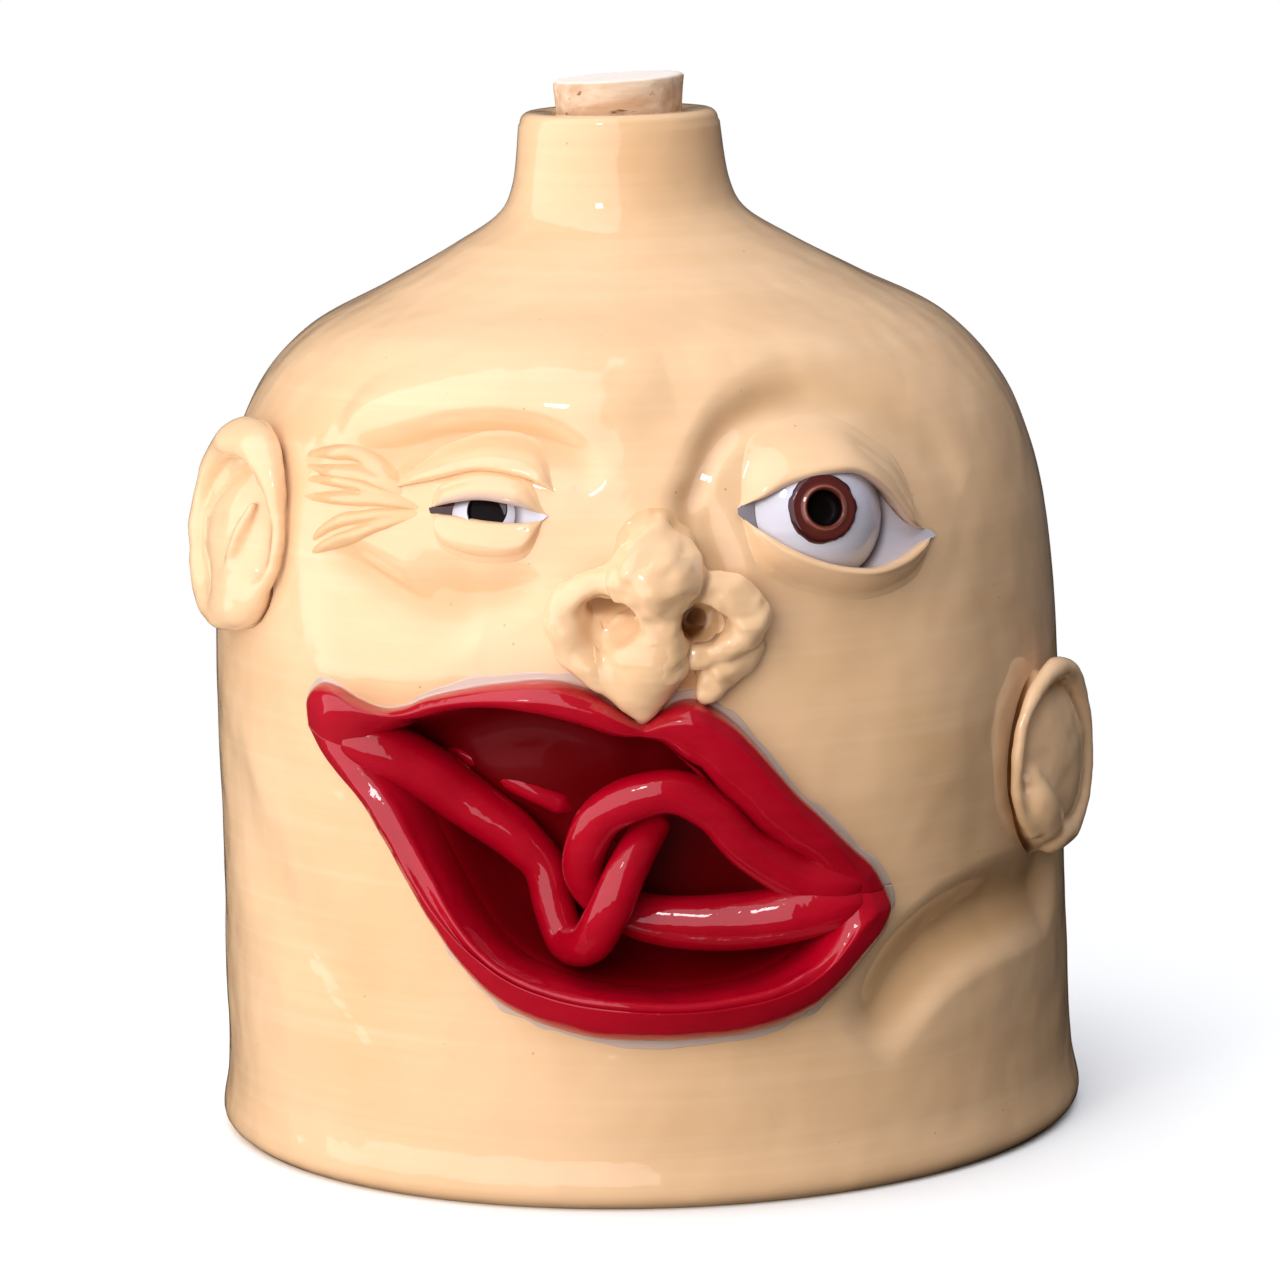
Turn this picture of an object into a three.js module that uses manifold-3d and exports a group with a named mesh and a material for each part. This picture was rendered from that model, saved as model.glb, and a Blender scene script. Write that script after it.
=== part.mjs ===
// A thrown ceramic jug with a face built on it from added clay, and a cork in its neck.
// Millimetres, Z up. The origin is the centre of the flat foot, and the face looks toward -Y.
// Left and right are the viewer's. A place on the wall is [along, up]: millimetres round the
// wall from the middle of the face, positive toward +X, and height above the foot.
// "off" is how far a point stands off the wall.

import * as THREE from 'three';
import { mergeVertices } from 'three/addons/utils/BufferGeometryUtils.js';
import { LoftGeometry } from 'three/addons/geometries/LoftGeometry.js';
import Module from 'manifold-3d';

const wasm = await Module();
wasm.setup();

// Thrown jug
const WALL_RADIUS = 103;
const WALL = 8;
const FLOOR = 9;
const FOOT_SWELL = 2.8;
const FOOT_HEIGHT = 14;
const SHOULDER_HEIGHT = 134;
const NECK_HEIGHT = 222;
const RIM_HEIGHT = 246;
const NECK_FOOT_RADIUS = 29.5;
const NECK_TOP_RADIUS = 24;
const RIM_ROUNDING = 2.6;
const LEAN = 0.0075;

// The shoulder, as [share of its height, share of its overhang past the neck]
const SHOULDER_TURN = [[0.28, 0.955], [0.53, 0.84], [0.69, 0.665], [0.81, 0.39], [0.91, 0.165]];

// Cork
const CORK_TOP_RADIUS = 15.9;
const CORK_LENGTH = 34;
const CORK_TAPER = 0.085;
const CORK_SHOWS = 7.9;
const CORK_CHAMFER = 0.7;
const CORK_SLANT = 0.04;

// Clay luted on the wall, before the cuts: how deep it is bedded, and the gap that it keeps
const BED = 1.5;
const CLEARANCE = 0.3;

// Places of the features on the wall
const RIGHT_EYE = [47, 159];
const LEFT_EYE = [-36, 161];
const NOSE = [4, 137];
const MOUTH = [-8, 82];
const LEFT_EAR = [-117, 153];
const RIGHT_EAR = [119, 92];

// Eyes
const SOCKET_DEPTH = 5;
const RIGHT_BALL_RADIUS = 16;
const RIGHT_BALL_SINK = 8;
const LEFT_BALL_RADIUS = 12;
const LEFT_BALL_SINK = 7.5;
const IRIS_RADIUS = 8.1;
const IRIS_HEIGHT = 1.2;
const PUPIL_RADIUS = 4.3;
const PUPIL_DEPTH = 3.5;
const LEFT_PUPIL_RADIUS = 4.7;

// Mouth pocket, as [share of its depth, share of the opening] from its floor out to the wall,
// then shares of the opening at its front, which stands out past the lips
const MOUTH_DEPTH = 24;
const LINING_WALL = 4.5;
const POCKET_TURN = [[-1, 0.62], [-0.84, 0.82], [-0.5, 0.95], [0, 1]];
const POCKET_REACH = 14;
const POCKET_FRONT = [1, 0.6, 0.2];

// Sections of the luted strips, as [share across, share of the height]
const ROLL = [[0, 0.05], [0.07, 0.52], [0.25, 0.88], [0.5, 1], [0.75, 0.88], [0.93, 0.52], [1, 0.05]];
const LID = [[0, 0.05], [0.2, 0.42], [0.5, 0.8], [0.78, 1], [1, 0.9]];

// Lips: outer edge, inner edge and height of the roll, from the left corner to the right one
const UPPER_LIP = [
  [-77, 29, -59.5, 24, 6],
  [-75, 36, -55.5, 26.5, 7],
  [-67, 38.5, -51, 29, 6],
  [-53, 34.5, -45.5, 31, 5],
  [-40.5, 38, -36, 33.5, 7],
  [-21.5, 42, -19, 35, 8],
  [-6, 42, -4, 31, 8],
  [4.5, 35.5, 4, 28.5, 7],
  [9, 32.5, 9.5, 27.5, 5.5],
  [14, 35.5, 15, 25.5, 7],
  [21, 37.5, 22, 20, 8],
  [30, 31.5, 30, 10.5, 8],
  [42.5, 16, 38.5, 2.5, 7],
  [57, 0.5, 47.5, -4, 6],
  [66, -10.5, 52.5, -10.5, 5],
];
const LOWER_LIP = [
  [-77, 29 - CLEARANCE, -59.5, 24 - CLEARANCE, 6],
  [-71, 21.5, -54, 18, 6],
  [-54, 4, -44, 3.5, 7],
  [-43, -13.5, -35, -11, 8],
  [-33, -26.5, -26, -21, 9],
  [-21.5, -35.5, -13, -28, 9],
  [-3, -41, 2, -31, 9],
  [19.5, -41.5, 19.5, -32, 9],
  [39.5, -39, 34, -30.5, 9],
  [54, -30.5, 45, -25.5, 9],
  [65, -20, 51.5, -18, 8],
  [66, -10.5 - CLEARANCE, 52.5, -10.5 - CLEARANCE, 5],
];

// Ropes in the mouth: place, off and radius
const LEFT_ROPE = [
  [-60, 25, -3, 4],
  [-50, 18.5, -6, 5.5],
  [-35, 7.5, -9, 5.5],
  [-26, 1, -12.5, 5.2],
  [-20, -5, -15.5, 4.8],
  [-17, -14, -16, 4.8],
  [-13, -21.5, -13.5, 4.8],
  [-6, -20.5, -7, 5],
  [-0.5, -12, -3, 5],
  [4, -3, -4, 4.8],
  [9, 4, -9.5, 4.2],
];
const RIGHT_LOOP = [
  [52.5, -6.5, -5, 4],
  [42, -5.5, -5, 5],
  [32.5, 2, -4, 5.2],
  [25, 10.5, -4, 5.2],
  [16.5, 15, -4, 5.2],
  [7, 14, -4.5, 5.2],
  [-1.5, 9.5, -5.5, 5.2],
  [-6, 2, -7.5, 5.2],
  [-7, -5.5, -11, 5],
  [-2, -12.5, -15, 5],
  [7, -16, -14.5, 5.2],
  [20.5, -17.5, -12, 5.5],
  [34.5, -17, -10, 5.5],
  [48, -15.5, -8.5, 4.5],
];
const PALATE_RIDGE = [
  [-44, 21.5, 2.5 - MOUTH_DEPTH, 3],
  [-34, 17.5, 2.5 - MOUTH_DEPTH, 4],
  [-24, 13.5, 2.5 - MOUTH_DEPTH, 4],
  [-16, 10, 2 - MOUTH_DEPTH, 3],
];

// Nose lump, as [place and off], [radii along, up and off]
const NOSE_LUMPS = [
  [[-2, 23, 2], [8, 12, 9]],
  [[0.5, 11.5, 8.5], [11.5, 11, 12]],
  [[-0.5, -1, 7], [6.5, 11, 9]],
  [[-0.5, 0, 1], [19, 12, 6]],
];
const NOSTRILS = [
  [[-10.5, 1, 8], [5, 4.8, 7]],
  [[10, -1.5, 8], [5, 4.8, 7]],
];
const LEFT_WING = [
  [-7, 10.5, 8, 3.5],
  [-14.5, 8.5, 6.5, 4.2],
  [-19, 4, 5.5, 4.3],
  [-19.5, -1, 5, 4.3],
  [-16.5, -6, 4.5, 4],
  [-10.5, -9, 4.5, 3.5],
  [-5, -9.5, 5, 3],
];
const RIGHT_WING = [
  [8.5, 9, 8, 3.2],
  [15.5, 6.5, 6.5, 3.8],
  [20.5, 2.5, 5.5, 4],
  [22, -3.5, 4.5, 4],
  [19.5, -8.5, 4, 3.6],
  [13.5, -10.5, 4, 3.4],
  [7, -9.5, 4.5, 3],
];
const RIGHT_WING_LOBE = [[16.5, -13.5, 2.5], [4, 4.5, 4]];
const PHILTRUM = [
  [-13, -9.5, 8.5, -8.5, 5.5],
  [-10, -15, 4, -14.5, 6],
  [-6.5, -19, 1, -18.2, 5],
  [-3.6, -21.4, -2.2, -21.2, 3],
];

// Eyelids and folds: outer edge, inner edge and height
const RIGHT_UPPER_LID = [
  [-26, 3.5, -21.5, 2.6, 2],
  [-21, 11, -16, 5, 5],
  [-13, 17.5, -9, 8, 8],
  [-2, 20, -1, 9.5, 9.5],
  [10, 18.5, 7.5, 9, 9],
  [20, 12, 14.5, 4.5, 7],
  [29, 3, 22.5, -4, 4],
  [37, -7.5, 31, -7, 2],
];
const RIGHT_LOWER_LID = [
  [-26, 2, -21.5, 1.4, 2],
  [-21, -7, -16, -3, 4],
  [-13, -13, -9, -7.5, 6.5],
  [-1, -17.5, -0.5, -11, 8],
  [10, -19, 9, -12.5, 7.5],
  [21, -17, 18, -11.5, 5],
  [30, -13, 26, -9, 3.5],
  [37.5, -9.2, 32, -8.1, 2],
];
const LEFT_UPPER_LID = [
  [-20, 2.5, -14, 1.3, 2],
  [-12, 7, -8, 4.2, 4.5],
  [-1, 10, 0, 5.8, 6],
  [9.5, 8.5, 8, 4.4, 5],
  [18.5, 2, 15, 0.8, 2],
];
const LEFT_LOWER_LID = [
  [-20, -0.5, -14, 0.3, 2],
  [-10, -6.5, -7, 0, 5],
  [0, -9, 1, -0.9, 6],
  [10, -8, 9.5, -1.3, 5],
  [18.5, -2.5, 15, -0.6, 2],
];
const LEFT_BROW_FOLD = [
  [-30, 9, -27, 5, 1.5],
  [-16, 14, -15, 7.8, 4],
  [-2, 17.5, -2, 11.5, 5],
  [11, 16, 10, 10, 5],
  [21.5, 11, 17.5, 5.5, 2.5],
];
const CROWS_FEET = [
  [[-56, 10.2, 0.6, 1.2], [-43, 10.8, 0.8, 2.3], [-33, 7.5, 0.6, 1.3]],
  [[-54, 3, 0.6, 1.2], [-38.5, 3.5, 0.8, 2.4], [-23, 2, 0.6, 1.2]],
  [[-49.5, -9.7, 0.6, 1.2], [-37, -4.8, 0.8, 2.3], [-24, -2.2, 0.6, 1.2]],
];

// Ears: outline, and how high the outer rim stands at the front and at the back
const LEFT_EAR_OUTLINE = [
  [-1, 25], [13, 20.5], [20.5, 9], [21, -4], [14, -14],
  [0, -24.5], [-11, -23], [-19, -8], [-20, 9], [-13, 21],
];
const RIGHT_EAR_OUTLINE = [
  [5, 24], [-8, 21.5], [-17, 13], [-20.2, 0], [-17, -11],
  [-8, -18.5], [6, -23.5], [16, -16], [19.5, 0], [15, 15],
];
const EAR_FRONT = 4.5;
const EAR_BACK = 8;
const EAR_HALF_WIDTH = 20;

// An ear from its bed to the middle of its hollow, as [share of the outline, share of the height]
const EAR_DISH = [[1, 0.3], [0.97, 0.75], [0.88, 1], [0.76, 0.95], [0.62, 0.45], [0.45, 0.28], [0.22, 0.34]];

// Furrows pressed into the soft wall and a ridge pulled out of it, as paths from their feature
const RIGHT_BROW_FURROW = [[-34, 2], [-29, 16], [-15, 26], [9, 28], [31, 20], [48, 4]];
const LEFT_BROW_FURROW = [[-34, 12], [-10, 19], [4, 19.5], [16, 17], [24, 10]];
const LEFT_CHEEK_RIDGE = [[-47, -12], [-21, -24], [0, -27]];
const LEFT_JAW_FURROW = [[-126, 17], [-96, -15], [-58, -36], [-39, -41]];
const RIGHT_JAW_FURROW = [[127, -22], [97, -24], [79, -30], [67, -38], [58, -48]];
const BROW_REACH = 9;
const BROW_DEPTH = 4.5;
const RIDGE_REACH = 10;
const RIDGE_HEIGHT = 3;
const JAW_REACH = 14;
const JAW_DEPTH = 4;

// Broad swells of the wall, as [along, up, reach along, reach up, off] from their feature
const LEFT_CHEEK = [-20, -34, 36, 15, 4];
const RIGHT_CHEEK = [28, -52, 36, 34, 3.5];
const CHIN = [10, -56, 44, 20, 3];

// Glazes and materials
const CLEAR_GLAZE = { color: '#e3bd8a', roughness: 0.2 };
const RED_GLAZE = { color: '#b3102c', roughness: 0.15 };
const WHITE_GLAZE = { color: '#e4e3ec', roughness: 0.15 };
const BROWN_GLAZE = { color: '#6a2c1c', roughness: 0.25 };
const BLACK_GLAZE = { color: '#140c0c', roughness: 0.2 };
const CORK = { color: '#d2ac84', roughness: 0.9 };

// Steps of the surfaces: angles round the wall, height of a row, and how many to a curve
const FRONT_ANGLE = 75;
const FRONT_STEP = 6;
const BACK_STEP = 17.5;
const ROW_STEP = 9;
const CLOSE_ROW_STEP = 0.6 * ROW_STEP;
const PROFILE_STEPS = 260;
const ROUND_SIDES = 24;
const ROPE_SIDES = 8;
const OPENING_STEPS = 17;
const LIP_STEPS = 26;
const ROPE_STEPS = 28;
const LID_STEPS = 12;
const SHORT_STEPS = 8;

// Smooth curve through points of any length, read as a list of lists
function smooth(points, steps) {
  const pairs = points[0].length > 3 ? 2 : 1;
  const curves = [];
  for (let k = 0; k < pairs; k++) {
    const part = points.map((p) => new THREE.Vector3(p[3 * k], p[3 * k + 1] ?? 0, p[3 * k + 2] ?? 0));
    curves.push(new THREE.CatmullRomCurve3(part, false, 'centripetal'));
  }
  const rows = [];
  for (let i = 0; i <= steps; i++) {
    rows.push(curves.flatMap((curve) => curve.getPoint(i / steps).toArray()));
  }
  return rows;
}

// Outside radius of the thrown wall at each height
const overhang = WALL_RADIUS - 1 - NECK_FOOT_RADIUS;
const shoulder = NECK_HEIGHT - SHOULDER_HEIGHT;
const PROFILE = smooth([
  [0, WALL_RADIUS],
  [0.2 * FOOT_HEIGHT, WALL_RADIUS + FOOT_SWELL],
  [FOOT_HEIGHT, WALL_RADIUS + 0.5 * FOOT_SWELL],
  [0.4 * SHOULDER_HEIGHT, WALL_RADIUS + 0.5],
  [SHOULDER_HEIGHT, WALL_RADIUS - 1],
  ...SHOULDER_TURN.map(([up, out]) => [SHOULDER_HEIGHT + up * shoulder, NECK_FOOT_RADIUS + out * overhang]),
  [NECK_HEIGHT, NECK_FOOT_RADIUS],
  [NECK_HEIGHT + 0.25 * (RIM_HEIGHT - NECK_HEIGHT), 0.55 * NECK_TOP_RADIUS + 0.45 * NECK_FOOT_RADIUS],
  [RIM_HEIGHT, NECK_TOP_RADIUS],
], PROFILE_STEPS);

function radius_at(up) {
  const next = PROFILE.findIndex((row) => row[0] > up);
  if (next < 1) return up <= 0 ? PROFILE[0][1] : NECK_TOP_RADIUS;
  const [[low, low_radius], [high, high_radius]] = [PROFILE[next - 1], PROFILE[next]];
  return THREE.MathUtils.mapLinear(up, low, high, low_radius, high_radius);
}

// How far the soft wall was pushed at a place
const strokes = [
  [RIGHT_EYE, RIGHT_BROW_FURROW, BROW_REACH, -BROW_DEPTH],
  [LEFT_EYE, LEFT_BROW_FURROW, BROW_REACH, -BROW_DEPTH],
  [LEFT_EYE, LEFT_CHEEK_RIDGE, RIDGE_REACH, RIDGE_HEIGHT],
  [MOUTH, LEFT_JAW_FURROW, JAW_REACH, -JAW_DEPTH],
  [MOUTH, RIGHT_JAW_FURROW, JAW_REACH, -JAW_DEPTH],
].map(([at, path, reach, off]) => ({ at, path: smooth(path, 2 * SHORT_STEPS), reach, off }));
const swells = [[LEFT_EYE, LEFT_CHEEK], [RIGHT_EYE, RIGHT_CHEEK], [MOUTH, CHIN]];

function distance_to_path(path, along, up) {
  let nearest = Infinity;
  for (let i = 1; i < path.length; i++) {
    const [from, to] = [path[i - 1], path[i]];
    const step = [to[0] - from[0], to[1] - from[1]];
    const length_squared = step[0] ** 2 + step[1] ** 2;
    const share = ((along - from[0]) * step[0] + (up - from[1]) * step[1]) / length_squared;
    const held = THREE.MathUtils.clamp(share, 0, 1);
    nearest = Math.min(nearest, Math.hypot(along - from[0] - held * step[0], up - from[1] - held * step[1]));
  }
  return nearest;
}

function relief(along, up) {
  let push = 0;
  for (const { at, path, reach, off } of strokes) {
    const distance = distance_to_path(path, along - at[0], up - at[1]);
    push += off * THREE.MathUtils.smoothstep(reach - distance, 0, reach);
  }
  for (const [at, [centre_along, centre_up, reach_along, reach_up, off]] of swells) {
    const across = (along - at[0] - centre_along) / reach_along;
    const rise = (up - at[1] - centre_up) / reach_up;
    push += off * Math.exp(-1.5 * (across ** 2 + rise ** 2));
  }
  return push;
}

function wall_point(along, up, off = 0, pushed = 1) {
  const angle = along / WALL_RADIUS;
  const radius = radius_at(up) + pushed * relief(along, up) + off;
  return new THREE.Vector3(radius * Math.sin(angle), -radius * Math.cos(angle), up);
}

// Closed geometry to solid, with its faces turned outward
function solid(geometry) {
  const bare = new THREE.BufferGeometry();
  bare.setAttribute('position', geometry.attributes.position);
  bare.setIndex(geometry.index);
  const merged = mergeVertices(bare, 1e-4);
  const vertProperties = new Float32Array(merged.attributes.position.array);
  const triVerts = new Uint32Array(merged.index.array);
  const made = new wasm.Manifold(new wasm.Mesh({ numProp: 3, vertProperties, triVerts }));
  if (made.volume() > 0) return made;
  return new wasm.Manifold(new wasm.Mesh({ numProp: 3, vertProperties, triVerts: triVerts.reverse() }));
}

function geometry_of(shape) {
  const { vertProperties, triVerts } = shape.getMesh();
  const geometry = new THREE.BufferGeometry();
  geometry.setAttribute('position', new THREE.BufferAttribute(vertProperties, 3));
  geometry.setIndex(new THREE.BufferAttribute(triVerts, 1));
  geometry.computeVertexNormals();
  return geometry;
}

// Skins closed sections, which can be drawn in either sense
function loft(sections) {
  const [first, second] = sections;
  const forward = new THREE.Vector3();
  const facing = new THREE.Vector3();
  first.forEach((point, i) => {
    const next = first[(i + 1) % first.length];
    forward.add(second[i]).sub(point);
    facing.add(new THREE.Vector3().crossVectors(point.clone().sub(first[0]), next.clone().sub(first[0])));
  });
  if (facing.dot(forward) < 0) sections = sections.map((section) => section.toReversed());
  return solid(new LoftGeometry(sections, { capStart: true, capEnd: true }));
}

// The jug without its hollow, grown or shrunk all round, with its soft wall pushed or as thrown
function jug_outside(grow = 0, pushed = 1) {
  const angles = [];
  for (let a = -FRONT_ANGLE; a < FRONT_ANGLE; a += FRONT_STEP) angles.push(a);
  for (let a = FRONT_ANGLE; a < 360 - FRONT_ANGLE; a += BACK_STEP) angles.push(a);
  const heights = [0, 0.07 * FOOT_HEIGHT, 0.2 * FOOT_HEIGHT, 0.5 * FOOT_HEIGHT];
  const close_from = NECK_HEIGHT - 3 * ROW_STEP;
  for (let up = FOOT_HEIGHT; up < close_from - 0.5 * ROW_STEP; up += ROW_STEP) heights.push(up);
  for (let up = close_from; up < RIM_HEIGHT - RIM_ROUNDING; up += CLOSE_ROW_STEP) heights.push(up);
  const rings = heights.map((up) => angles.map((angle) => {
    return wall_point(THREE.MathUtils.degToRad(angle) * WALL_RADIUS, up, grow, pushed);
  }));
  for (const turn of [0, 30, 60, 90]) {
    const out = NECK_TOP_RADIUS - RIM_ROUNDING * (1 - Math.cos(THREE.MathUtils.degToRad(turn))) + grow;
    const up = RIM_HEIGHT - RIM_ROUNDING * (1 - Math.sin(THREE.MathUtils.degToRad(turn)));
    rings.push(angles.map((angle) => {
      const around = THREE.MathUtils.degToRad(angle);
      return new THREE.Vector3(out * Math.sin(around), -out * Math.cos(around), up);
    }));
  }
  return loft(rings);
}

// Turned about Z from [radius, height] points that start and end on the axis
function turned(profile, sides) {
  const points = profile.map(([radius, up]) => new THREE.Vector2(radius, up));
  return new THREE.LatheGeometry(points, sides).rotateX(Math.PI / 2);
}

// The hollow of the jug, with the bore that holds the cork
const cork_top = RIM_HEIGHT + CORK_SHOWS;

function bore_radius(up) {
  return CORK_TOP_RADIUS - CORK_TAPER * (cork_top - up) + CLEARANCE;
}

function jug_hollow() {
  const corner = 0.8 * WALL;
  const inside = [[0, FLOOR], [radius_at(FLOOR) - WALL - corner, FLOOR]];
  for (let up = FLOOR + corner; up < NECK_HEIGHT; up += 2 * ROW_STEP) {
    const slope = radius_at(up + 1) - radius_at(up - 1);
    const length = Math.hypot(2, slope);
    const radius = radius_at(up) - WALL * 2 / length;
    const height = up + WALL * slope / length;
    if (height > inside.at(-1)[1] && radius > bore_radius(height) + 2) inside.push([radius, height]);
  }
  const bore_foot = inside.at(-1)[1] + 2;
  inside.push([bore_radius(bore_foot), bore_foot]);
  inside.push([bore_radius(RIM_HEIGHT + 1), RIM_HEIGHT + 1], [0, RIM_HEIGHT + 1]);
  return solid(turned(inside, ROUND_SIDES));
}

// A strip luted along the wall between two edges, with a rounded section
function strip([along_0, up_0], stations, section, steps, grow = 0) {
  const edges = stations.map(([a, b, c, d, height]) => [a, b, 0, c, d, height]);
  return loft(smooth(edges, steps).map(([a, b, , c, d, height]) => {
    const spread = grow / Math.hypot(c - a, d - b);
    const point = (across, off) => {
      const share = across * (1 + 2 * spread) - spread;
      const along = THREE.MathUtils.lerp(a, c, share) + along_0;
      return wall_point(along, THREE.MathUtils.lerp(b, d, share) + up_0, off + grow);
    };
    const crown = section.map(([across, share]) => point(across, share * height));
    return [point(0, -BED), ...crown, point(1, -BED)];
  }));
}

// A round tube whose stations give place, off and radius
function rope([along_0, up_0], stations, steps, grow = 0) {
  const points = stations.map(([along, up, off]) => wall_point(along + along_0, up + up_0, off));
  const curve = new THREE.CatmullRomCurve3(points, false, 'centripetal');
  const radii = new THREE.CatmullRomCurve3(stations.map((s) => new THREE.Vector3(s[3], 0, 0)));
  const { normals, binormals } = curve.computeFrenetFrames(steps);
  const sections = normals.map((normal, i) => {
    const centre = curve.getPointAt(i / steps);
    const radius = radii.getPoint(curve.getUtoTmapping(i / steps)).x + grow;
    const ring = [];
    for (let k = 0; k < ROPE_SIDES; k++) {
      const turn = 2 * Math.PI * k / ROPE_SIDES;
      const out = normal.clone().multiplyScalar(radius * Math.cos(turn));
      ring.push(out.addScaledVector(binormals[i], radius * Math.sin(turn)).add(centre));
    }
    return ring;
  });
  return loft(sections);
}

// Stands geometry on the wall: X along it, Y up it and Z square out of it
function on_wall(geometry, [along_0, up_0], [along, up, off] = [0, 0, 0]) {
  const angle = (along + along_0) / WALL_RADIUS;
  const height = up + up_0;
  const tilt = Math.atan2(radius_at(height - ROW_STEP) - radius_at(height + ROW_STEP), 2 * ROW_STEP);
  const right = new THREE.Vector3(Math.cos(angle), Math.sin(angle), 0);
  const level = new THREE.Vector3(Math.sin(angle), -Math.cos(angle), 0);
  const out = level.multiplyScalar(Math.cos(tilt)).setZ(Math.sin(tilt));
  const frame = new THREE.Matrix4().makeBasis(right, new THREE.Vector3().crossVectors(out, right), out);
  frame.setPosition(wall_point(along + along_0, height).addScaledVector(out, off));
  return solid(geometry.applyMatrix4(frame));
}

function lump(at, [place, radii], grow = 0) {
  const ball = new THREE.SphereGeometry(1, 0.7 * ROUND_SIDES, 0.4 * ROUND_SIDES);
  return on_wall(ball.scale(...radii.map((radius) => radius + grow)), at, place);
}

function cut(shape, ...tools) {
  return tools.reduce((left, tool) => left.subtract(tool), shape);
}

function joined(shapes) {
  return shapes.reduce((sum, shape) => sum.add(shape));
}

// The mouth pocket: the same opening, grown for the lining and for the hole in the wall
const opening = [
  ...smooth(UPPER_LIP.map((s) => [s[2], s[3]]), OPENING_STEPS).slice(0, -1),
  ...smooth(LOWER_LIP.map((s) => [s[2], s[3]]), OPENING_STEPS).reverse().slice(0, -1),
];

function mouth_pocket(grow) {
  const outline = opening.map(([along, up], i) => {
    const before = opening.at(i - 1);
    const after = opening[(i + 1) % opening.length];
    const [run, rise] = [after[0] - before[0], after[1] - before[1]];
    const length = Math.hypot(run, rise);
    return { along, up, out: [-rise / length * grow, run / length * grow] };
  });
  const ring = (off, share) => outline.map(({ along, up, out }) => {
    return wall_point(MOUTH[0] + share * along + out[0], MOUTH[1] + share * up + out[1], off);
  });
  const turn = POCKET_TURN.map(([depth, share]) => ring(depth * (MOUTH_DEPTH + grow), share));
  return loft([...turn, ...POCKET_FRONT.map((share) => ring(POCKET_REACH, share))]);
}

// Eyeballs, with their front toward the viewer of the eye
function eyeball(at, radius, sink, grow = 0) {
  const ball = new THREE.SphereGeometry(radius + grow, ROUND_SIDES, 0.6 * ROUND_SIDES).rotateX(Math.PI / 2);
  return on_wall(ball, at, [0, 0, -sink]);
}

// A shell on the ball between two radii of its face, or a disc if the inner one is 0
function eye_ring(at, ball_radius, sink, inner, outer, height) {
  const lift = (radius, extra) => Math.sqrt((ball_radius + CLEARANCE) ** 2 - radius ** 2) + extra;
  const profile = [[inner, lift(inner, 0)], [outer, lift(outer, 0)], [outer, lift(outer, 0.7 * height)]];
  profile.push([0.5 * (inner + outer), lift(0.5 * (inner + outer), height)]);
  profile.push([inner, lift(inner, 0.8 * height)]);
  if (inner > 0) profile.push(profile[0]);
  return on_wall(turned(profile, ROUND_SIDES), at, [0, 0, -sink]);
}

const jug = new THREE.Group();
jug.name = 'face_jug';
const leaning = new THREE.Matrix4().set(1, 0, -LEAN, 0, 0, 1, 0, 0, 0, 0, 1, 0, 0, 0, 0, 1);

function add_piece(name, geometry, finish) {
  const piece = new THREE.Mesh(geometry, new THREE.MeshStandardMaterial({ metalness: 0, ...finish }));
  piece.name = name;
  jug.add(piece);
  return piece;
}

function add_clay(name, shape, finish) {
  return add_piece(name, geometry_of(shape).applyMatrix4(leaning), finish);
}

// Tools that cut the luted clay to the wall that it sits on
const wall = jug_outside();
const wall_gap = jug_outside(CLEARANCE);
const socket_floor = jug_outside(-SOCKET_DEPTH, 0);
const socket_bed = jug_outside(-SOCKET_DEPTH - CLEARANCE, 0);
const pocket_gap = mouth_pocket(-CLEARANCE);
const right_ball_gap = eyeball(RIGHT_EYE, RIGHT_BALL_RADIUS, RIGHT_BALL_SINK, CLEARANCE);
const left_ball_gap = eyeball(LEFT_EYE, LEFT_BALL_RADIUS, LEFT_BALL_SINK, CLEARANCE);

// Jug body
add_clay('jug_body', cut(
  wall,
  jug_hollow(),
  mouth_pocket(LINING_WALL + CLEARANCE),
  cut(right_ball_gap, socket_bed),
  cut(left_ball_gap, socket_bed),
), CLEAR_GLAZE);

// Cork, with a slanted top
const cork = turned([
  [0, 0],
  [CORK_TOP_RADIUS - CORK_TAPER * CORK_LENGTH - CORK_CHAMFER, 0],
  [CORK_TOP_RADIUS - CORK_TAPER * (CORK_LENGTH - CORK_CHAMFER), CORK_CHAMFER],
  [CORK_TOP_RADIUS - CORK_TAPER * CORK_CHAMFER, CORK_LENGTH - CORK_CHAMFER],
  [CORK_TOP_RADIUS - CORK_CHAMFER, CORK_LENGTH],
  [0, CORK_LENGTH],
], ROUND_SIDES);
const cork_points = cork.attributes.position;
for (let i = 0; i < cork_points.count; i++) {
  if (cork_points.getZ(i) > 0.5 * CORK_LENGTH) {
    cork_points.setZ(i, cork_points.getZ(i) + CORK_SLANT * cork_points.getX(i));
  }
}
const stopper = add_piece('cork_stopper', geometry_of(solid(cork)), CORK);
stopper.position.set(-LEAN * (RIM_HEIGHT - 0.5 * CORK_LENGTH), 0, cork_top - CORK_LENGTH);

// Mouth
add_clay('mouth_lining', cut(mouth_pocket(LINING_WALL), mouth_pocket(0)).intersect(wall), RED_GLAZE);
add_clay('upper_lip', cut(strip(MOUTH, UPPER_LIP, ROLL, LIP_STEPS), wall_gap), RED_GLAZE);
add_clay('lower_lip', cut(strip(MOUTH, LOWER_LIP, ROLL, LIP_STEPS), wall_gap), RED_GLAZE);
add_clay('tongue_left_rope', rope(MOUTH, LEFT_ROPE, ROPE_STEPS).intersect(pocket_gap), RED_GLAZE);
add_clay('tongue_right_loop', rope(MOUTH, RIGHT_LOOP, ROPE_STEPS).intersect(pocket_gap), RED_GLAZE);
add_clay('palate_ridge', rope(MOUTH, PALATE_RIDGE, SHORT_STEPS).intersect(pocket_gap), RED_GLAZE);

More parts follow.
